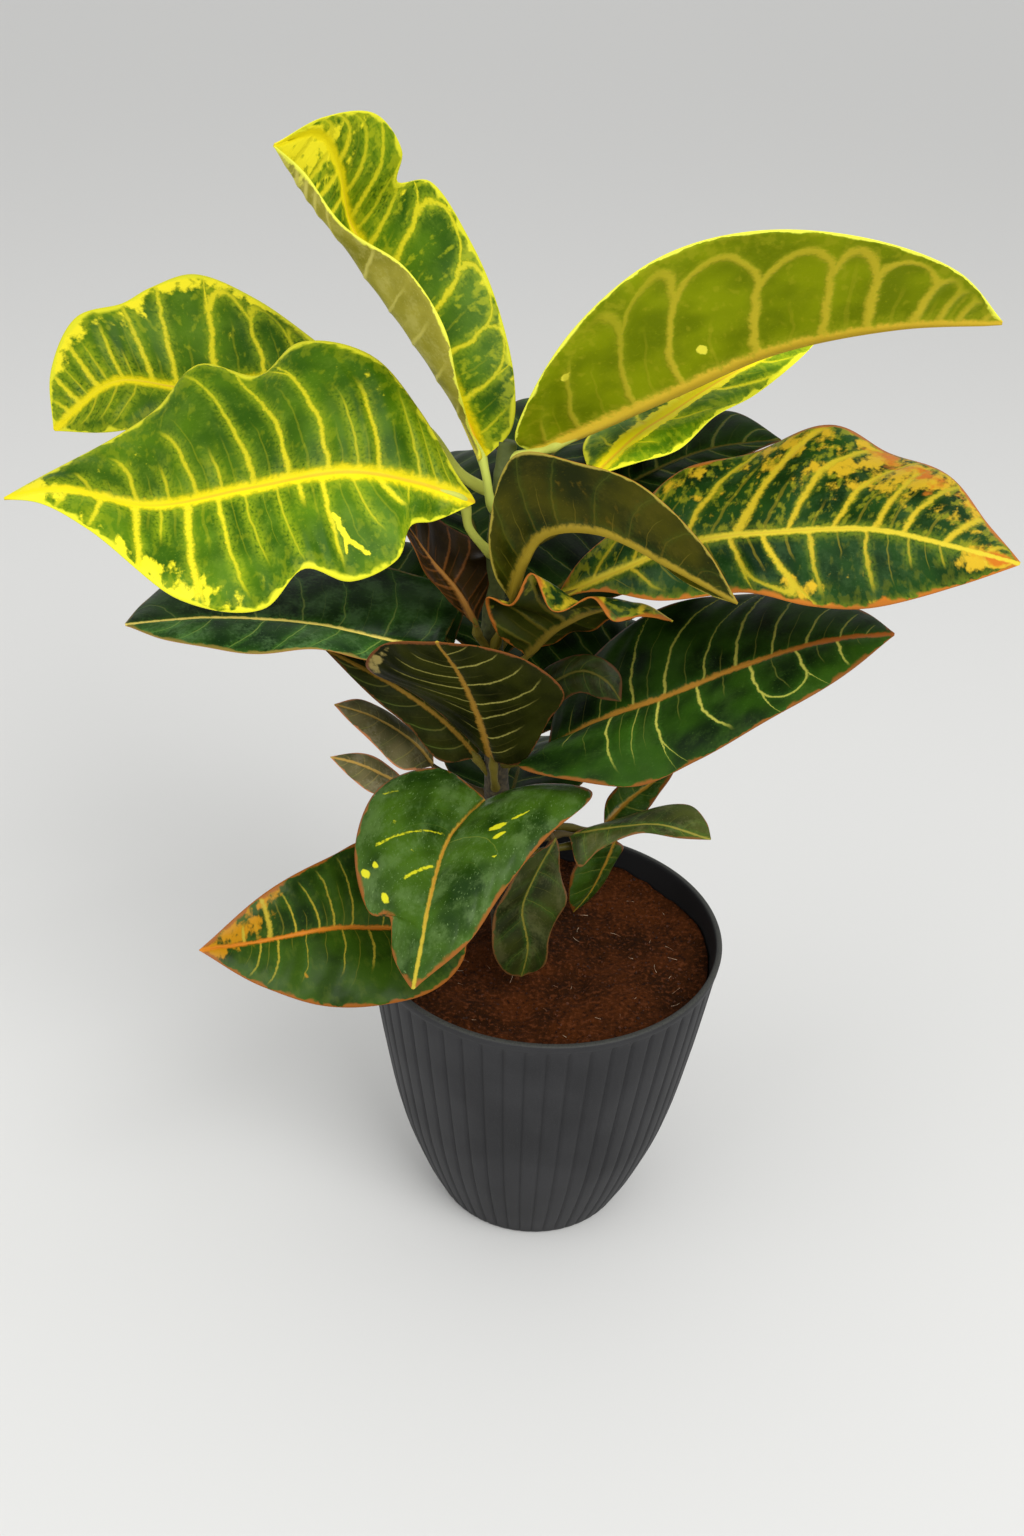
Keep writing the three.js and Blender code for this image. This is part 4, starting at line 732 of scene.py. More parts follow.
def side_fields(surface, s, q, veins):
    """The side veins as numbers over one half blade. The phase is a whole number on each vein."""
    lean = VEIN_STRAIGHT * q[0] + (1 - VEIN_STRAIGHT) * q[0] ** 2
    numbers = np.arange(-BEYOND, len(veins) + BEYOND)
    first_gap, last_gap = np.maximum(np.diff(veins[:, 0])[[0, -1]], VEIN_GAP)
    before = [veins[0] - [first_gap * k, 0, 0, 0, 0] for k in range(BEYOND, 0, -1)]
    after = [veins[-1] + [last_gap * k, 0, 0, 0, 0] for k in range(1, BEYOND + 1)]
    every = np.vstack([*before, veins, *after])
    every[:BEYOND, 3] = every[-BEYOND:, 3] = 0
    phase = np.zeros_like(s)
    for column, share in enumerate(lean):
        at = np.maximum.accumulate(every[:, 0] + every[:, 1] * share + VEIN_STEP * numbers)
        phase[:, column] = np.interp(s[:, column], at, numbers)
    along, across = np.gradient(surface, axis=(0, 1))
    e, f, g = ((a * b).sum(-1) for a, b in ((along, along), (along, across), (across, across)))
    by_row, by_column = np.gradient(phase)
    steep = g * by_row ** 2 - 2 * f * by_row * by_column + e * by_column ** 2
    steep = steep / np.maximum(e * g - f * f, 1e-6)
    spacing = 1 / np.sqrt(np.clip(steep, 1 / VEIN_SPACING_MAX ** 2, 1))
    nearest = np.round(phase).astype(int)
    own, other = (every[np.clip(k + BEYOND, 0, len(every) - 1)]
                  for k in (nearest, nearest + np.where(phase > nearest, 1, -1)))
    blend = 2 * (phase - nearest)[..., None] ** 2
    own = own * (1 - blend) + other * blend
    return dict(phase=phase, spacing=spacing, reach=own[..., 2], weight=own[..., 3], fork=own[..., 4])


def back_leaf(name, z, heading, stalk, length, half, rise, droop, stations=6):
    """A leaf at the back, from its heading, size and droop."""
    turn, first = math.radians(heading), math.radians(rise)
    ahead = np.array([math.cos(turn), math.sin(turn), 0])
    side = np.array([math.sin(turn), -math.cos(turn), 0])
    up = np.array([0, 0, 1.0])
    root = stem_point_at(z)
    foot = p = root + stalk * (math.cos(first) * ahead + math.sin(first) * up)
    rib, left, right = [], [], []
    for i in range(stations + 1):
        s = i / stations
        slope = math.radians(rise - droop * s)
        lift = math.cos(slope) * up - math.sin(slope) * ahead
        width = half * math.sin(math.pi * s ** 0.85) ** 0.8 if 0 < i < stations else 0
        rib.append(p)
        left.append(p - width * side + BACK_LIFT * width * lift)
        right.append(p + width * side + BACK_LIFT * width * lift)
        p = p + length / stations * (math.cos(slope) * ahead + math.sin(slope) * up)
    return leaf(name, z, BACK_SWELL, BACK_WAVE, [(root + foot) / 2], rib, left[1:-1], right[1:-1])


def distance_to(points, line):
    """The distance from each point of a grid to the nearest point of a line."""
    flat = points.reshape(-1, 3)
    least = np.full(len(flat), np.inf)
    for start in range(0, len(line), BATCH):
        gap = flat[:, None] - line[None, start:start + BATCH]
        least = np.minimum(least, np.sqrt((gap ** 2).sum(-1)).min(1))
    return least.reshape(points.shape[:-1])


def stroke_field(strokes, surface, s, cells):
    """The distance to the nearest of the pale strokes, which follow the blade's surface."""
    least = np.full(surface.shape[:2], NO_STROKE)
    for way, across, end_way, end_across, wide in strokes:
        for t in np.linspace(0, 1, STROKE_STEPS):
            row = np.argmin(abs(s - way - (end_way - way) * t))
            column, part = divmod((1 + across + (end_across - across) * t) * cells, 1)
            dot = (1 - part) * surface[row, int(column)] + part * surface[row, int(column) + 1]
            least = np.minimum(least, np.linalg.norm(surface - dot, axis=-1) - wide)
    return least


def spot_fields(spots, share, half):
    """How yellow and how orange each point of the blade is."""
    fields = np.zeros((2, *share.shape))
    for way, across, long, wide, *strengths in spots:
        near = np.exp(-((share - way) / long) ** 2 - ((half - across) / wide) ** 2)
        fields = np.maximum(fields, np.multiply.outer(strengths, near))
    return dict(zip(("yellow", "orange"), fields))


def half_blade(leaf, which, s, q, rib, ahead):
    """One half of the blade as a grid of points, from the rib to the margin, and its margin."""
    turn = (1, -1)[which]
    margin = spline(leaf[("left", "right")[which]])(s)
    across = margin - rib
    normal = turn * unit(np.cross(ahead, across))
    count, height, phase = leaf["wave"]
    ripple = height * np.sin(FULL_TURN * count * s + phase + which) * np.sin(np.pi * s)
    margin = margin + ripple[:, None] * normal
    crest = (rib + margin) / 2 + leaf["swell"] * np.linalg.norm(across, axis=1)[:, None] * normal
    if which == 0 and "left_fold" in leaf:
        crest = spline(leaf["left_fold"])(s)
    control = 2 * crest - rib / 2 - margin / 2
    w = q[None, :, None]
    surface = (1 - w) ** 2 * rib[:, None] + 2 * w * (1 - w) * control[:, None] + w ** 2 * margin[:, None]
    return surface, margin


def blade_sheets(surface, share, from_rib, edge, phase, spacing, depth):
    """The upper and lower sheet, puckered between the side veins and folded down to the rib."""
    normal = unit(np.cross(np.gradient(surface, axis=1), np.gradient(surface, axis=0)))
    reach = np.clip(abs(from_rib) / PUCKER_FROM_RIB, 0, 1) * np.clip(edge / PUCKER_FROM_EDGE, 0, 1)
    full = reach * np.clip(spacing / PUCKER_SPACING, 0, 1)
    pucker = depth * (np.sin(np.pi * phase) ** 2 - 0.5) * full
    groove = -GROOVE_DEPTH * np.exp(-(from_rib / GROOVE_REACH) ** 2) * (1 - share)
    middle = surface + normal * (pucker + groove)[..., None]
    thick = BLADE_EDGE + (BLADE_MIDDLE - BLADE_EDGE) * np.clip(edge / THIN_FROM_EDGE, 0, 1)
    keel = KEEL_DEPTH * (1 - KEEL_TAPER * share) * np.exp(-(from_rib / (KEEL_REACH - share)) ** 2)
    ridge = RIDGE_HEIGHT * np.exp(-((phase - np.round(phase)) * spacing / RIDGE_REACH) ** 2) * reach
    top = middle + normal * (thick / 2)[..., None]
    bottom = middle - normal * (thick / 2 + keel + ridge)[..., None]
    return top, bottom, normal


def blade_faces(rows, columns):
    """The faces of a blade: its upper sheet, the sheet below it and the wall between them."""
    count = rows * columns
    index = np.arange(count).reshape(rows, columns)
    sheet = grid_faces(rows, columns)
    loop = np.concatenate([index[0], index[1:, -1], index[-1, -2::-1], index[-2:0:-1, 0]])
    after = np.roll(loop, -1)
    wall = np.stack([after, loop, loop + count, after + count], axis=-1)
    return np.vstack([sheet, sheet[:, ::-1] + count, wall]).tolist()


def build_stalk(leaf, under):
    """The stalk, along the same line as in the part, with swollen ends."""
    def radius(a):
        swell = SWOLLEN_END * sum(k * math.exp(-((a - at) / wide) ** 2) for at, wide, k in SWELLINGS)
        taper = 1 if a < TAPER_FROM else 1 - TAPER * (a - TAPER_FROM) / (1 - TAPER_FROM)
        return PETIOLE_RADIUS * (STALK_SHARE * taper + swell)

    return tube(spline([stem_point_at(leaf["root"]), *leaf["petiole"], *under]), radius, *STALK_GRID)


def build_leaf(leaf, clothes, rows, cells, seed):
    """One leaf: a thin closed blade with its fields for the material, and its stalk."""
    # Both halves as grids from the rib to the margin, each with its side veins
    rng = np.random.default_rng(seed)
    u = np.linspace(0, 1, rows + 1)
    s = FIRST_ROW + ROWS_SPAN * (0.75 * u + 0.25 * (1 - np.cos(np.pi * u)) / 2)
    q = np.linspace(0, 1, cells + 1)
    ss, qq = np.meshgrid(s, q, indexing="ij")
    rib_curve = spline(leaf["rib"])
    rib = rib_curve(s)
    ahead = unit(rib_curve(np.minimum(s + FIRST_ROW, 1)) - rib_curve(np.maximum(s - FIRST_ROW, 0)))
    halves = []
    for which in (0, 1):
        surface, margin = half_blade(leaf, which, s, q, rib, ahead)
        veins, by_rule = side_veins(clothes["veins"][which], clothes, rng)
        step = np.linalg.norm(np.diff(surface, axis=1), axis=-1)
        from_rib = np.concatenate([np.zeros((rows + 1, 1)), np.cumsum(step, axis=1)], axis=1)
        halves.append(dict(side_fields(surface, ss, qq, veins), by_rule=np.full_like(ss, by_rule),
                           surface=surface, from_rib=from_rib, s=ss, q=qq, margin=margin))
    left, right = halves

    def joined(key, sign=1):
        """One grid over the whole blade, from the left margin to the right."""
        return np.concatenate([sign * left[key][:, :0:-1], right[key]], axis=1)

    def spread(key):
        """The left half's numbers and the right half's, each carried over the whole blade."""
        over_left, over_right = (np.repeat(part[key][:, :1], cells, axis=1) for part in halves)
        return (np.concatenate([left[key][:, ::-1], over_left], axis=1),
                np.concatenate([over_right, right[key]], axis=1))

    surface, share = joined("surface"), joined("s")
    half, from_rib = joined("q", -1), joined("from_rib", -1)
    sides = {key: spread(key) for keys in VEIN_FIELDS.values() for key in keys}
    tips = rib_curve(np.array([0.0, 1.0]))
    edge = distance_to(surface, np.vstack([tips[:1], left["margin"], right["margin"], tips[1:]]))

    # Blade and stalk
    phase, spacing = (np.where(half < 0, *sides[key]) for key in ("phase", "spacing"))
    top, bottom, normal = blade_sheets(surface, share, from_rib, edge, phase, spacing, clothes["pucker"])
    count = half.size
    under = [rib_curve(np.array([a]))[0] - KEEL_DEPTH * normal[round(a * rows), cells] for a in UNDER_BLADE]
    stalk, stalk_faces, stalk_way = build_stalk(leaf, under)
    faces = blade_faces(*half.shape) + [[i + 2 * count for i in face] for face in stalk_faces]

    # Numbers for the material
    fields = {}

    def keep(key, upper, on_stalk=0.0, lower=None):
        """Keeps a field's numbers for the upper face, the underside and the stalk."""
        upper, lower = (part.reshape(count, -1) for part in (upper, upper if lower is None else lower))
        fields[key] = np.vstack([upper, lower, np.broadcast_to(on_stalk, (len(stalk), upper.shape[1]))])

    def place(way, across, apart):
        """Where a point reads the noise."""
        return np.stack([way, across, np.full_like(way, apart * seed)], axis=-1)

    # Brightness of each half, blended across the rib: partly the leaf's own tone, partly painted light and
    # shade
    left_light_and_tone, right_light_and_tone = clothes["painted_light_and_tone"]
    painted_light_and_tone = left_light_and_tone + (right_light_and_tone - left_light_and_tone) * (0.5 + 0.5 * np.tanh(from_rib / LIGHT_AND_TONE_BLEND))
    netted = np.where(half < 0, *np.broadcast_to(clothes["net"], 2))
    length = np.linalg.norm(np.diff(rib, axis=0), axis=1).sum()
    blade = dict(share=share, half=half, netted=netted, **spot_fields(clothes["spots"], share, half))
    for key, numbers in blade.items():
        keep(key, numbers)
    keep("from_rib", from_rib, FAR)
    keep("edge", edge, FAR)
    keep("painted_light_and_tone", painted_light_and_tone, 1)
    keep("stroke", stroke_field(clothes["strokes"], surface, s, cells), NO_STROKE)
    keep("under", np.zeros(count), 1, np.ones(count))
    keep("on_stalk", np.zeros(count), 1)
    on_stalk = place(stalk_way * STALK_SPAN, 0 * stalk_way, STALK_APART)
    keep("place", place(share * length, from_rib, LEAF_APART), on_stalk)
    for which, word in enumerate(("left", "right")):
        for name, keys in VEIN_FIELDS.items():
            keep(f"{name}_{word}", np.stack([sides[key][which] for key in keys], axis=-1))
    points = np.vstack([top.reshape(-1, 3), bottom.reshape(-1, 3), stalk])
    return make_piece(leaf["name"] + "_dressed", points, faces, fields)




# Materials
def operator(kind, swapped=False):
    """A method that joins its terms by one node of arithmetic."""
    def method(self, *other):
        return self.graph.math(kind, *((*other, self) if swapped else (self, *other)))
    return method


class Value:
    """A number or colour flowing between a material's nodes, with ordinary arithmetic."""

    __add__ = __radd__ = operator("ADD")
    __sub__ = operator("SUBTRACT")
    __rsub__ = operator("SUBTRACT", swapped=True)
    __mul__ = __rmul__ = operator("MULTIPLY")
    __truediv__ = operator("DIVIDE")
    __abs__ = operator("ABSOLUTE")

    def __init__(self, graph, socket):
        self.graph = graph
        self.socket = socket


class Graph:
    """A material built from nodes, one call for each."""

    def __init__(self, name):
        self.material = bpy.data.materials.new(name)
        self.material.use_nodes = True
        self.tree = self.material.node_tree
        self.shader = self.tree.nodes["Principled BSDF"]

    def feed(self, node, terms):
        """Gives a node's sockets, known by number or name, a value or another node's output."""
        for socket, term in terms.items():
            if isinstance(term, Value):
                self.tree.links.new(term.socket, node.inputs[socket])
            else:
                node.inputs[socket].default_value = term

    def node(self, kind, terms, output=0, **settings):
        made = self.tree.nodes.new("ShaderNode" + kind)
        for key, value in settings.items():
            setattr(made, key, value)
        self.feed(made, terms if isinstance(terms, dict) else dict(enumerate(terms)))
        return Value(self, made.outputs[output])

    def math(self, operation, *terms):
        return self.node("Math", terms, operation=operation)

    def field(self, name, output="Fac"):
        return self.node("Attribute", (), output, attribute_name=name)

    def vector_field(self, name):
        return self.field(name, "Vector")

    def smooth(self, value, low, high):
        """0 at low, 1 at high, with a soft step between; low may be the greater."""
        return self.node("MapRange", (value, low, high), interpolation_type="SMOOTHSTEP")

    def step(self, value, name):
        return self.smooth(value, *STEPS[name])

    def line(self, distance, width, name):
        outer, inner = LINES[name]
        return self.smooth(distance, width * outer, width * inner)

    def mix(self, share, first, second):
        """Two colours mixed."""
        return self.node("Mix", {0: share, 6: first, 7: second}, 2, data_type="RGBA", clamp_factor=True)

    def pick(self, share, first, second):
        """Two numbers mixed."""
        return self.math("MULTIPLY_ADD", share, self.math("SUBTRACT", second, first), first)

    def noise(self, place, name):
        scale, detail = NOISE[name]
        return self.node("TexNoise", {"Vector": place, "Scale": scale, "Detail": detail})

    def stretched(self, place, *factors):
        return self.node("VectorMath", (place, factors), operation="MULTIPLY")

    def scaled(self, colour, factor):
        return self.node("VectorMath", {0: colour, "Scale": factor}, operation="SCALE")

    def apart(self, vector):
        first = self.node("SeparateXYZ", (vector,))
        return [Value(self, output) for output in first.socket.node.outputs]

    def chance(self, *numbers):
        """A number from 0 to 1 that differs with each set of whole numbers."""
        return self.node("TexWhiteNoise", {"Vector": self.node("CombineXYZ", numbers)})

    def most(self, *terms):
        best = terms[0]
        for term in terms[1:]:
            best = self.math("MAXIMUM", best, term)
        return best

    def object_place(self):
        """The object's own coordinates, in mm."""
        return self.scaled(self.node("TexCoord", (), "Object"), 1 / MM)

    def finish(self, colour, rough, shine=0.5, bump=None):
        """The material from its colour, roughness and shine, with a bump of height, strength, depth."""
        self.feed(self.shader, {"Base Color": colour, "Roughness": rough, "Specular IOR Level": shine})
        if bump:
            raised = self.node("Bump", dict(zip(("Height", "Strength", "Distance"), bump)))
            self.feed(self.shader, {"Normal": raised})
        return self.material


def leaf_face(g, k, place, cloud, wobble):
    """The colour and relief of one face of a leaf, from its look k, in the graph g."""
    # Share runs along the blade, q across a half of it, from rib to margin
    share, half, edge = g.field("share"), g.field("half"), g.field("edge")
    from_rib, q = abs(g.field("from_rib")), abs(half)
    right = g.math("GREATER_THAN", half, 0.0)
    veins = g.mix(right, g.vector_field("vein_left"), g.vector_field("vein_right"))
    phase, spacing, weight = g.apart(veins)
    reach, fork, by_rule = g.apart(g.mix(right, g.vector_field("ends_left"), g.vector_field("ends_right")))
    speckle = g.noise(place, "speckle")
    flattened = g.stretched(place, 1.0, 0.6, 1.0)
    patches, blotch = g.noise(flattened, "patches"), g.noise(flattened, "blotch")
    jitter = speckle - 0.5

    # Side veins, and the arches that join them near the margin
    phase = phase + (wobble - 0.5) * VEIN_WOBBLE
    off = abs(phase - g.math("ROUND", phase))
    luck = g.chance(g.math("FLOOR", phase), right, 2.0)
    climb = g.most((q + (cloud - 0.5) * ARCH_WOBBLE - fork) / ARCH_RISE, 0.0)
    toward = 1 - off * 2.0
    distance = abs(g.math("SQRT", toward * toward + climb * climb) - 1) * spacing * 0.5
    full = weight * (1 - LEAST_STRENGTH) + LEAST_STRENGTH
    ragged_distance = distance + jitter * k["ragged"] * full
    width = g.pick(q, k["vein_width"], k["vein_thin"]) * (weight * (1 - LEAST_WIDTH) + LEAST_WIDTH)
    fade = g.smooth(q, reach + FADE_PAST, reach - FADE_BEFORE) * g.step(weight, "faint_vein")
    strength = g.math("MINIMUM", full * k["vein_strength"], 1.0)
    side_vein = g.line(ragged_distance, width, "side_vein") * fade * strength
    short = g.smooth(q, 0.25 + luck * 0.6, 0.1 + luck * 0.5) * (0.5 + by_rule * 0.5)
    between = g.line((0.5 - off) * spacing, width, "between") * short * k["between"]
    veins = g.most(side_vein, between)

    # Ground colour, with the painted sheen, the fine net and the painted glints
    ground = g.mix(g.step(cloud, "ground"), k["dark"], k["light"])
    # Pale clouds painted on as the sheen of light on the leaf
    veiled = g.step(speckle * 0.35 + wobble * 0.85, "veiled")
    ground = g.mix(veiled * k["veil_amount"], ground, k["veil"])
    halo = g.most(
        g.smooth(distance, k["halo_width"], 0.2) * fade,
        g.smooth(from_rib, k["rib_width"] + k["halo_width"], k["rib_width"] * 0.6),
        g.smooth(edge, k["edge_width"] * 3.5, 0.3) * k["edge_mottle"],
    )
    ground = g.mix(halo * k["halo_amount"] * g.step(speckle, "halo_mottle"), ground, k["halo"])
    near_lines = g.most(g.step(edge, "near_edge"), g.step(from_rib, "near_rib") * 0.6, g.field("yellow"))
    netted = g.step(patches + near_lines * 0.14 + (cloud - 0.5) * 0.2, "netted")
    ground = g.mix(netted * (k["net"] * 0.75) * g.field("netted"), ground, k["mottle"])
    # Small pale specks painted on as glints of light, in the sheen's colour
    flecks = g.step(g.noise(g.stretched(place, 0.6, 1.0, 1.0), "flecks"), "flecks")
    ground = g.mix(flecks * k["flecks"], ground, k["veil"])

    # Mottling, strong where the spots are, and strokes
    gold = g.step(blotch * 0.72 + speckle * 0.14 + g.field("yellow") * 0.55, "gold")
    rust = g.step(g.noise(place, "rust") * 0.7 + g.field("orange") * 0.6, "rust")
    stroke = g.step(g.field("stroke") + jitter * 1.2, "stroke")
    colour = g.mix(g.most(gold, stroke), ground, k["yellow"])
    far = g.step(q, "outward") * g.step(weight, "slight") * 0.55
    colour = g.mix(veins, colour, g.mix(far, k["vein"], k["halo"]))
    colour = g.mix(rust, colour, k["orange"])

    # Margin and rib
    uneven = g.step(g.noise(place, "uneven") * 0.8 + blotch * 0.2, "uneven")
    edge_width = uneven * (k["edge_width"] * 1.9) + 0.1
    colour = g.mix(g.line(edge + jitter * 0.8, edge_width, "margin"), colour, k["edge"])
    rib_width = g.pick(share, k["rib_width"], k["rib_tip"])
    rib_distance = from_rib + (jitter * 0.9 + (patches - 0.5) * 1.2) * rib_width
    rib = g.line(rib_distance, rib_width, "rib")
    middle = g.line(from_rib, rib_width, "rib_middle") * g.step(share, "before_tip")
    rib_colour = g.mix(g.step(share, "rib_end"), k["rib"], k["rib_end"])
    colour = g.mix(rib, colour, g.mix(middle, rib_colour, k["rib_middle"]))
    colour = g.mix(g.field("on_stalk"), colour, k["stalk"])
    return colour, g.most(veins, rib) * -1.0 + speckle * 0.35


def leaf_material(*faces):
    """A leaf's material from the looks of its upper face and underside."""
    g = Graph("leaf_{}_over_{}".format(*faces))
    place = g.vector_field("place")
    cloud, wobble = g.noise(place, "cloud"), g.noise(place, "wobble")
    under = g.field("under")
    top, low = (LOOKS[face] for face in faces)
    top_colour, top_relief = leaf_face(g, top, place, cloud, wobble)
    low_colour, low_relief = leaf_face(g, low, place, cloud, wobble)
    # Scaled by the brightness of each half, which is partly painted light and shade
    colour = g.scaled(g.mix(under, top_colour, low_colour), g.field("painted_light_and_tone"))
    rough = g.pick(under, top["rough"], low["rough"]) + (cloud - 0.5) * 0.15
    g.feed(g.shader, {"Coat Weight": top["coat"], "Coat Roughness": LEAF_COAT_ROUGH})
    relief = g.pick(under, top_relief, low_relief * -1.0)
    return g.finish(colour, rough, LEAF_SHINE, (relief, *BUMPS["leaf"]))


def plastic_material():
    g = Graph("pot_plastic")
    place = g.object_place()
    grain = g.noise(place, "pot_grain")
    shade = g.mix(g.step(g.noise(place, "pot_cloud"), "pot_cloud"), SHADES["pot"], SHADES["pot_light"])
    shade = g.mix(g.step(grain, "pot_grain") * 0.3, shade, SHADES["pot_grain"])
    # Painted shade in the grooves, stronger in patches
    groove_shade_patches = g.step(g.noise(g.stretched(place, 1.0, 1.0, 0.15), "groove_shade_patches"), "groove_shade_patches")
    shade = g.mix(g.field("groove") * groove_shade_patches * 0.14, shade, SHADES["painted_groove_shade"])
    shade = g.mix(g.field("brim") * g.step(grain, "brim"), shade, SHADES["pot_brim"])
    # Painted shade: the inside of the pot drawn darker than the outside
    shade = g.mix(g.field("inside"), shade, SHADES["painted_inside_shade"])
    return g.finish(shade, 0.5 + grain * 0.2, 0.25, (grain, *BUMPS["pot"]))


def soil_material():
    g = Graph("soil_peat")
    place = g.object_place()
    crumbs = g.noise(place, "soil_crumbs")
    shade = g.mix(g.step(g.noise(place, "soil_cloud"), "soil_cloud"), SHADES["soil"], SHADES["soil_light"])
    shade = g.mix(g.step(crumbs, "soil_top") * 0.7, shade, SHADES["soil_top"])
    # Painted shade in the hollows between the raised crumbs of the bump
    shade = g.mix(g.step(crumbs, "painted_hollow_shade") * 0.8, shade, SHADES["painted_hollow_shade"])
    return g.finish(shade, 0.9, 0.08, (crumbs + g.noise(place, "soil_dust") * 0.4, *BUMPS["soil"]))


def bark_material():
    g = Graph("stem_bark")
    grain = g.noise(g.object_place(), "bark")
    shade = g.mix(g.step(grain, "bark"), SHADES["bark"], SHADES["bark_light"])
    young = g.step(g.field("way") + (grain - 0.5) * 0.2, "young")
    shade = g.mix(young, shade, SHADES["bark_green"])
    return g.finish(shade, 0.8, bump=(grain, *BUMPS["bark"]))


def loose_material(name, rough):
    """Loose soil or fibres, from a dark and a light shade."""
    g = Graph("soil_" + name)
    grain = g.noise(g.object_place(), name)
    return g.finish(g.mix(g.step(grain, "loose"), SHADES[name], SHADES[name + "_light"]), rough)


# Pot, soil and stem
def circle(angle, radius, z):
    """Points at the given angles round the pot's axis."""
    return np.stack([radius * np.cos(angle), radius * np.sin(angle), z + 0 * angle], axis=-1)


def build_pot():
    """The ribbed pot: soft upright ribs with narrow grooves, a plain lip and a smooth inside."""
    angle = turns(RIB_COUNT * POINTS_PER_RIB)
    turn = (angle * RIB_COUNT / FULL_TURN) % 1
    groove = np.exp(-((np.minimum(turn, 1 - turn)) / GROOVE_WIDTH) ** 2)
    belly = RIB_BELLY * np.sin(np.pi * turn)
    rings = []
    fields = dict(groove=[], inside=[], brim=[])

    def ring(radius, z, ribbed=0.0, inside=0.0, brim=0.0):
        rings.append(circle(angle, radius - ribbed * (RIB_DEPTH * groove - belly + RIB_BELLY), z))
        for key, numbers in (("groove", groove * ribbed), ("inside", inside), ("brim", brim)):
            fields[key].append(numbers + 0 * angle)

    lip_foot = POT_HEIGHT - LIP_DEPTH
    ring(0.5, 0)
    ring(BASE_RADIUS - 1.2, 0)
    ring(BASE_RADIUS - 0.3, 0.4)
    for z in np.linspace(1.2, lip_foot - 0.8, POT_SIDE_RINGS):
        ring(pot_radius(z), z, ribbed=min(1.0, z / 8) * min(1.0, (lip_foot - z) / 3))
    for more, z in ((0.1, lip_foot - 0.3), (0.25, lip_foot), (0.25, POT_HEIGHT - 0.6)):
        ring(pot_radius(z) + more, z)
    ring(RIM_RADIUS, POT_HEIGHT - 0.15, brim=0.7)
    ring(RIM_RADIUS - 0.5, POT_HEIGHT + 0.05, brim=1.0)
    ring(RIM_RADIUS - WALL + 0.5, POT_HEIGHT + 0.05, inside=0.3, brim=1.0)
    ring(RIM_RADIUS - WALL, POT_HEIGHT - 0.4, inside=1.0)
    for z in np.linspace(POT_HEIGHT - 1.5, POT_FLOOR, POT_INNER_RINGS):
        ring(pot_radius(z) - WALL, z, inside=1.0)
    ring(0.5, POT_FLOOR, inside=1.0)
    fields = {key: np.concatenate(numbers) for key, numbers in fields.items()}
    return make_piece("pot_dressed", np.vstack(rings), tube_faces(len(rings), len(angle)), fields)


def soil_height(x, y):
    """The mounded top of the soil, as in the part's source."""
    rise = np.cos(x / 13 + 0.8) * np.cos(y / 17 - 0.5) + 0.4 * np.sin(x / 6) * np.cos(y / 7)
    return SOIL_TOP + SOIL_MOUND * rise


def build_soil():
    """The soil: a plug whose top is mounded and crumbly."""
    rng = np.random.default_rng(SOIL_SEED)
    angle = turns(SOIL_COLUMNS)
    rings = [circle(angle, pot_radius(z) - SOIL_CLEAR, z) for z in (4.3, 24, 58, 98, SOIL_TOP - 3)]
    limits = ((0.15, 1.1), (0, FULL_TURN), (0, 6.3))
    waves = [[rng.uniform(*limit) for limit in limits] for _ in range(SOIL_WAVES)]
    for radius in np.linspace(pot_radius(SOIL_TOP) - SOIL_CLEAR, 0.4, SOIL_RINGS):
        x, y = radius * np.cos(angle), radius * np.sin(angle)
        crumb = sum(0.16 / (0.4 + f) * np.sin(f * (x * math.cos(a) + y * math.sin(a)) + b)
                    for f, a, b in waves)
        rings.append(circle(angle, radius, soil_height(x, y) + crumb * 0.5))
    return make_piece("soil_dressed", np.vstack(rings), tube_faces(len(rings), len(angle)))


def scatter_spot(rng, inset):
    """A random place on the soil."""
    radius = (pot_radius(SOIL_TOP) - SOIL_CLEAR - inset) * math.sqrt(rng.uniform())
    turn = rng.uniform(0, FULL_TURN)
    x, y = radius * math.cos(turn), radius * math.sin(turn)
    return x, y, float(soil_height(x, y))


def build_crumbs():
    """Loose crumbs of soil, each a small lumpy stone of a few faces."""
    rng = np.random.default_rng(CRUMB_SEED)
    long = (1 + 5 ** 0.5) / 2
    corners = np.array([(-1, long, 0), (1, long, 0), (-1, -long, 0), (1, -long, 0),
                        (0, -1, long), (0, 1, long), (0, -1, -long), (0, 1, -long),
                        (long, 0, -1), (long, 0, 1), (-long, 0, -1), (-long, 0, 1)])
    # The sides join three corners that lie 2 apart, turned to face outward
    sides = [three for three in combinations(range(12), 3)
             if all(math.dist(corners[a], corners[b]) < 2.1 for a, b in combinations(three, 2))]
    sides = [(a, b, c) if np.linalg.det(corners[[a, b, c]]) > 0 else (a, c, b) for a, b, c in sides]
    points, faces = [], []
    for i in range(CRUMB_COUNT):
        x, y, z = scatter_spot(rng, CRUMB_INSET)
        size = CRUMB_LEAST + CRUMB_SPREAD * rng.uniform() ** 3
        lump = unit(corners) * size * rng.uniform(0.6, 1.3, (12, 1)) * rng.uniform(0.6, 1.4, 3)
        points.append(lump + (x, y, z + size * 0.3))
        faces += [[corner + 12 * i for corner in side] for side in sides]
    return make_piece("soil_crumbs", np.vstack(points), faces, smooth=False)


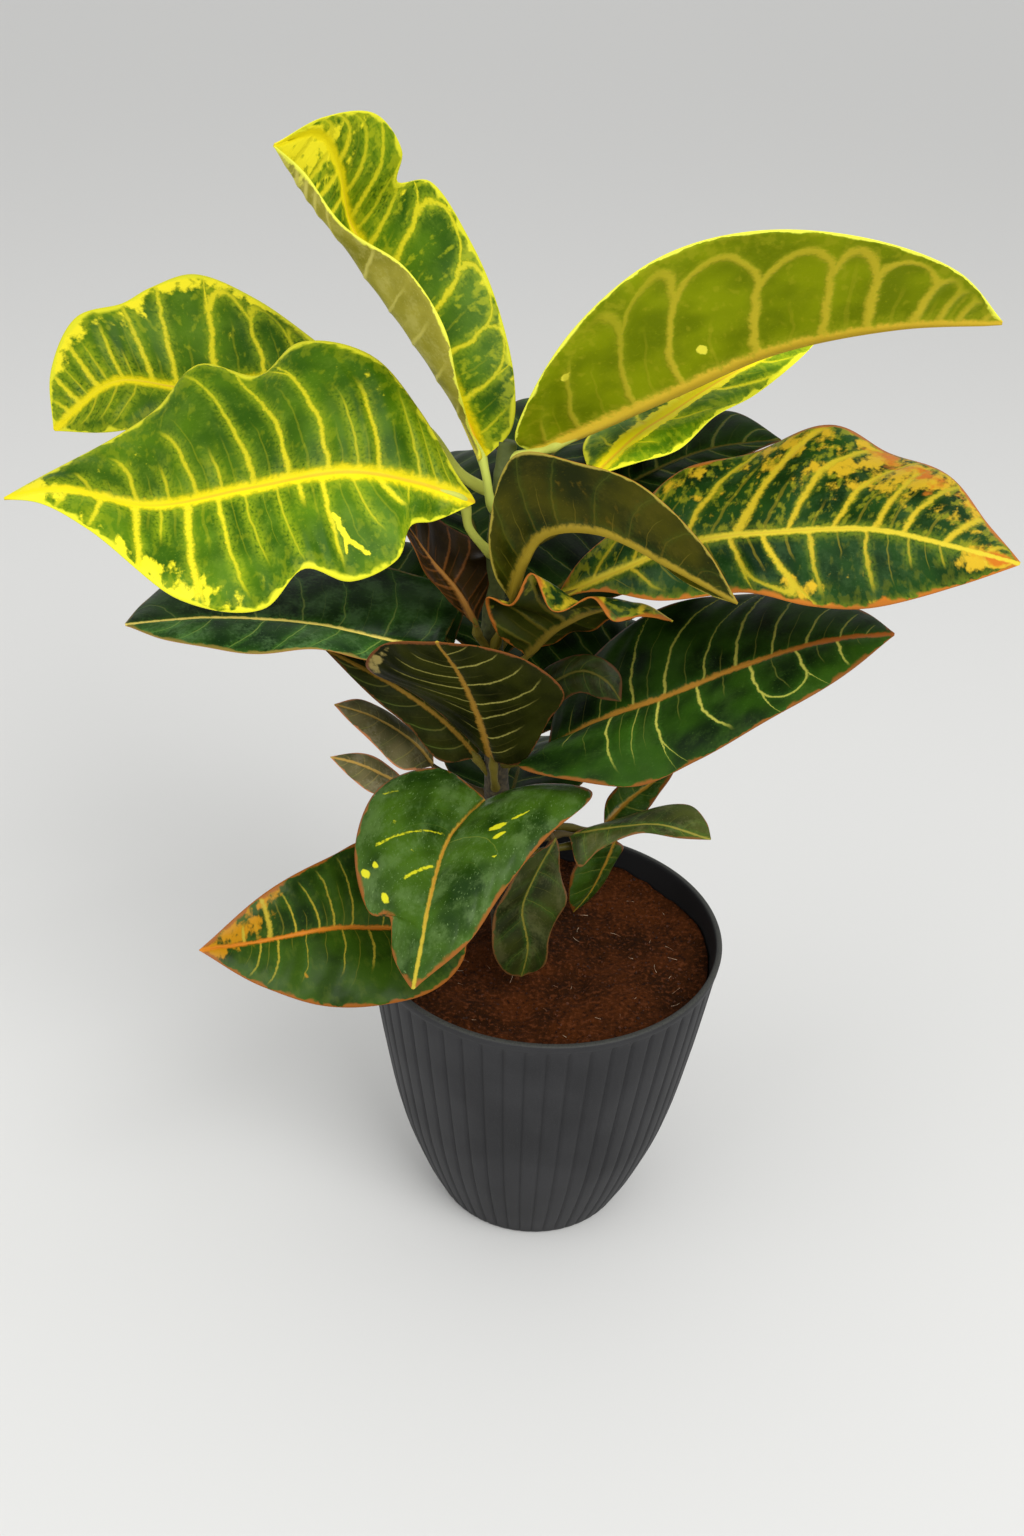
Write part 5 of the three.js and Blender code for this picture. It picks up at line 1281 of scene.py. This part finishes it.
def build_fibres():
    """Short fibres lying on the soil."""
    rng = np.random.default_rng(FIBRE_SEED)
    points, faces = [], []
    for _ in range(FIBRE_COUNT):
        x, y, _ = scatter_spot(rng, FIBRE_INSET)
        turn = rng.uniform(0, FULL_TURN)
        long = rng.uniform(*FIBRE_LENGTHS)
        bend = rng.uniform(-FIBRE_BEND, FIBRE_BEND)
        dx, dy = long / 2 * math.cos(turn), long / 2 * math.sin(turn)
        ends = [(x - dx, y - dy), (x - dy * bend, y + dx * bend), (x + dx, y + dy)]
        line = spline([(a, b, float(soil_height(a, b)) + FIBRE_LIFT) for a, b in ends], 8)
        more, quads, _ = tube(line, lambda s: FIBRE_RADIUS * (1 - 0.4 * s), 6, 5)
        first = sum(len(p) for p in points)
        points.append(more)
        faces += [[i + first for i in face] for face in quads]
    return make_piece("soil_fibres", np.vstack(points), faces)


def build_stem():
    """The woody stem, ringed by the scars of old leaves."""
    def radius(s):
        scars = np.exp(-((s - SCAR_WAYS) / SCAR_REACH) ** 2).sum()
        return STEM_RADIUS_LOW + (STEM_RADIUS_HIGH - STEM_RADIUS_LOW) * s + SCAR_HEIGHT * scars

    points, faces, way = tube(stem_curve, radius, *STEM_GRID)
    return make_piece("stem_dressed", points, faces, dict(way=way))


# Build
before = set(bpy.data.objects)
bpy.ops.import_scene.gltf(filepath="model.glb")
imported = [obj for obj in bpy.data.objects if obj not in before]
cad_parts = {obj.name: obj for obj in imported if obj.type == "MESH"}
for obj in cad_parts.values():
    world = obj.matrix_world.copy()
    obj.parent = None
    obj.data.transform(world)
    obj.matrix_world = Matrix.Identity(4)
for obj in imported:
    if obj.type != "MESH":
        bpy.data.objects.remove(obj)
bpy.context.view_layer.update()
scene = bpy.context.scene
scene.view_settings.view_transform = "Standard"


def dress(piece, node, material, replaces=True):
    piece.data.materials.append(material)
    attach(piece, "root")
    if replaces:
        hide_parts(node)


dress(build_pot(), "pot", plastic_material())
dress(build_soil(), "soil", soil_material())
dress(build_stem(), "stem", bark_material())
dress(build_crumbs(), "soil", loose_material("crumb", 0.95), replaces=False)
dress(build_fibres(), "soil", loose_material("fibre", 0.85), replaces=False)

leaf_materials = {}
for number, made in enumerate([*LEAVES, *[back_leaf(**rule) for rule in BACK_LEAVES]]):
    clothes = {**PLAIN_DRESS, **DRESS.get(made["name"], BACK_DRESS)}
    faces = clothes["faces"]
    if faces not in leaf_materials:
        leaf_materials[faces] = leaf_material(*faces)
    grid = FINE_GRID if number < FINE_LEAVES else PLAIN_GRID
    dress(build_leaf(made, clothes, *grid, number + 1), made["name"], leaf_materials[faces])

# Floor, light and camera
floor_mesh = bpy.data.meshes.new("floor")
corners = [(x * FLOOR_REACH, y * FLOOR_REACH, 0) for x, y in ((-1, -1), (1, -1), (1, 1), (-1, 1))]
floor_mesh.from_pydata(corners, [], [(0, 1, 2, 3)])
floor_mesh.materials.append(Graph("floor_plain").finish(SHADES["floor"], 0.9))
floor = bpy.data.objects.new("floor", floor_mesh)
scene.collection.objects.link(floor)

scene.world = bpy.data.worlds.new("room_light")
scene.world.use_nodes = True
backdrop = scene.world.node_tree.nodes["Background"]
backdrop.inputs["Color"].default_value = SHADES["room"]
backdrop.inputs["Strength"].default_value = 1.0

for name, place, size, power in LAMPS:
    lamp = bpy.data.lights.new(name, "AREA")
    lamp.size = size
    lamp.energy = power
    holder = bpy.data.objects.new(name, lamp)
    holder.location = place
    holder.rotation_euler = (Vector(LAMP_TARGET) - Vector(place)).to_track_quat("-Z", "Y").to_euler()
    scene.collection.objects.link(holder)

lens = bpy.data.cameras.new("photo_camera")
lens.sensor_fit = "VERTICAL"
lens.sensor_height = SENSOR_HEIGHT
lens.lens = CAMERA_LENS
camera = bpy.data.objects.new("photo_camera", lens)
camera.matrix_world = (
    Matrix.Translation(CAMERA_PLACE) @ Matrix.Rotation(CAMERA_YAW, 4, "Z")
    @ Matrix.Rotation(math.pi / 2 - CAMERA_PITCH, 4, "X") @ Matrix.Rotation(CAMERA_ROLL, 4, "Z")
)
scene.collection.objects.link(camera)
scene.camera = camera
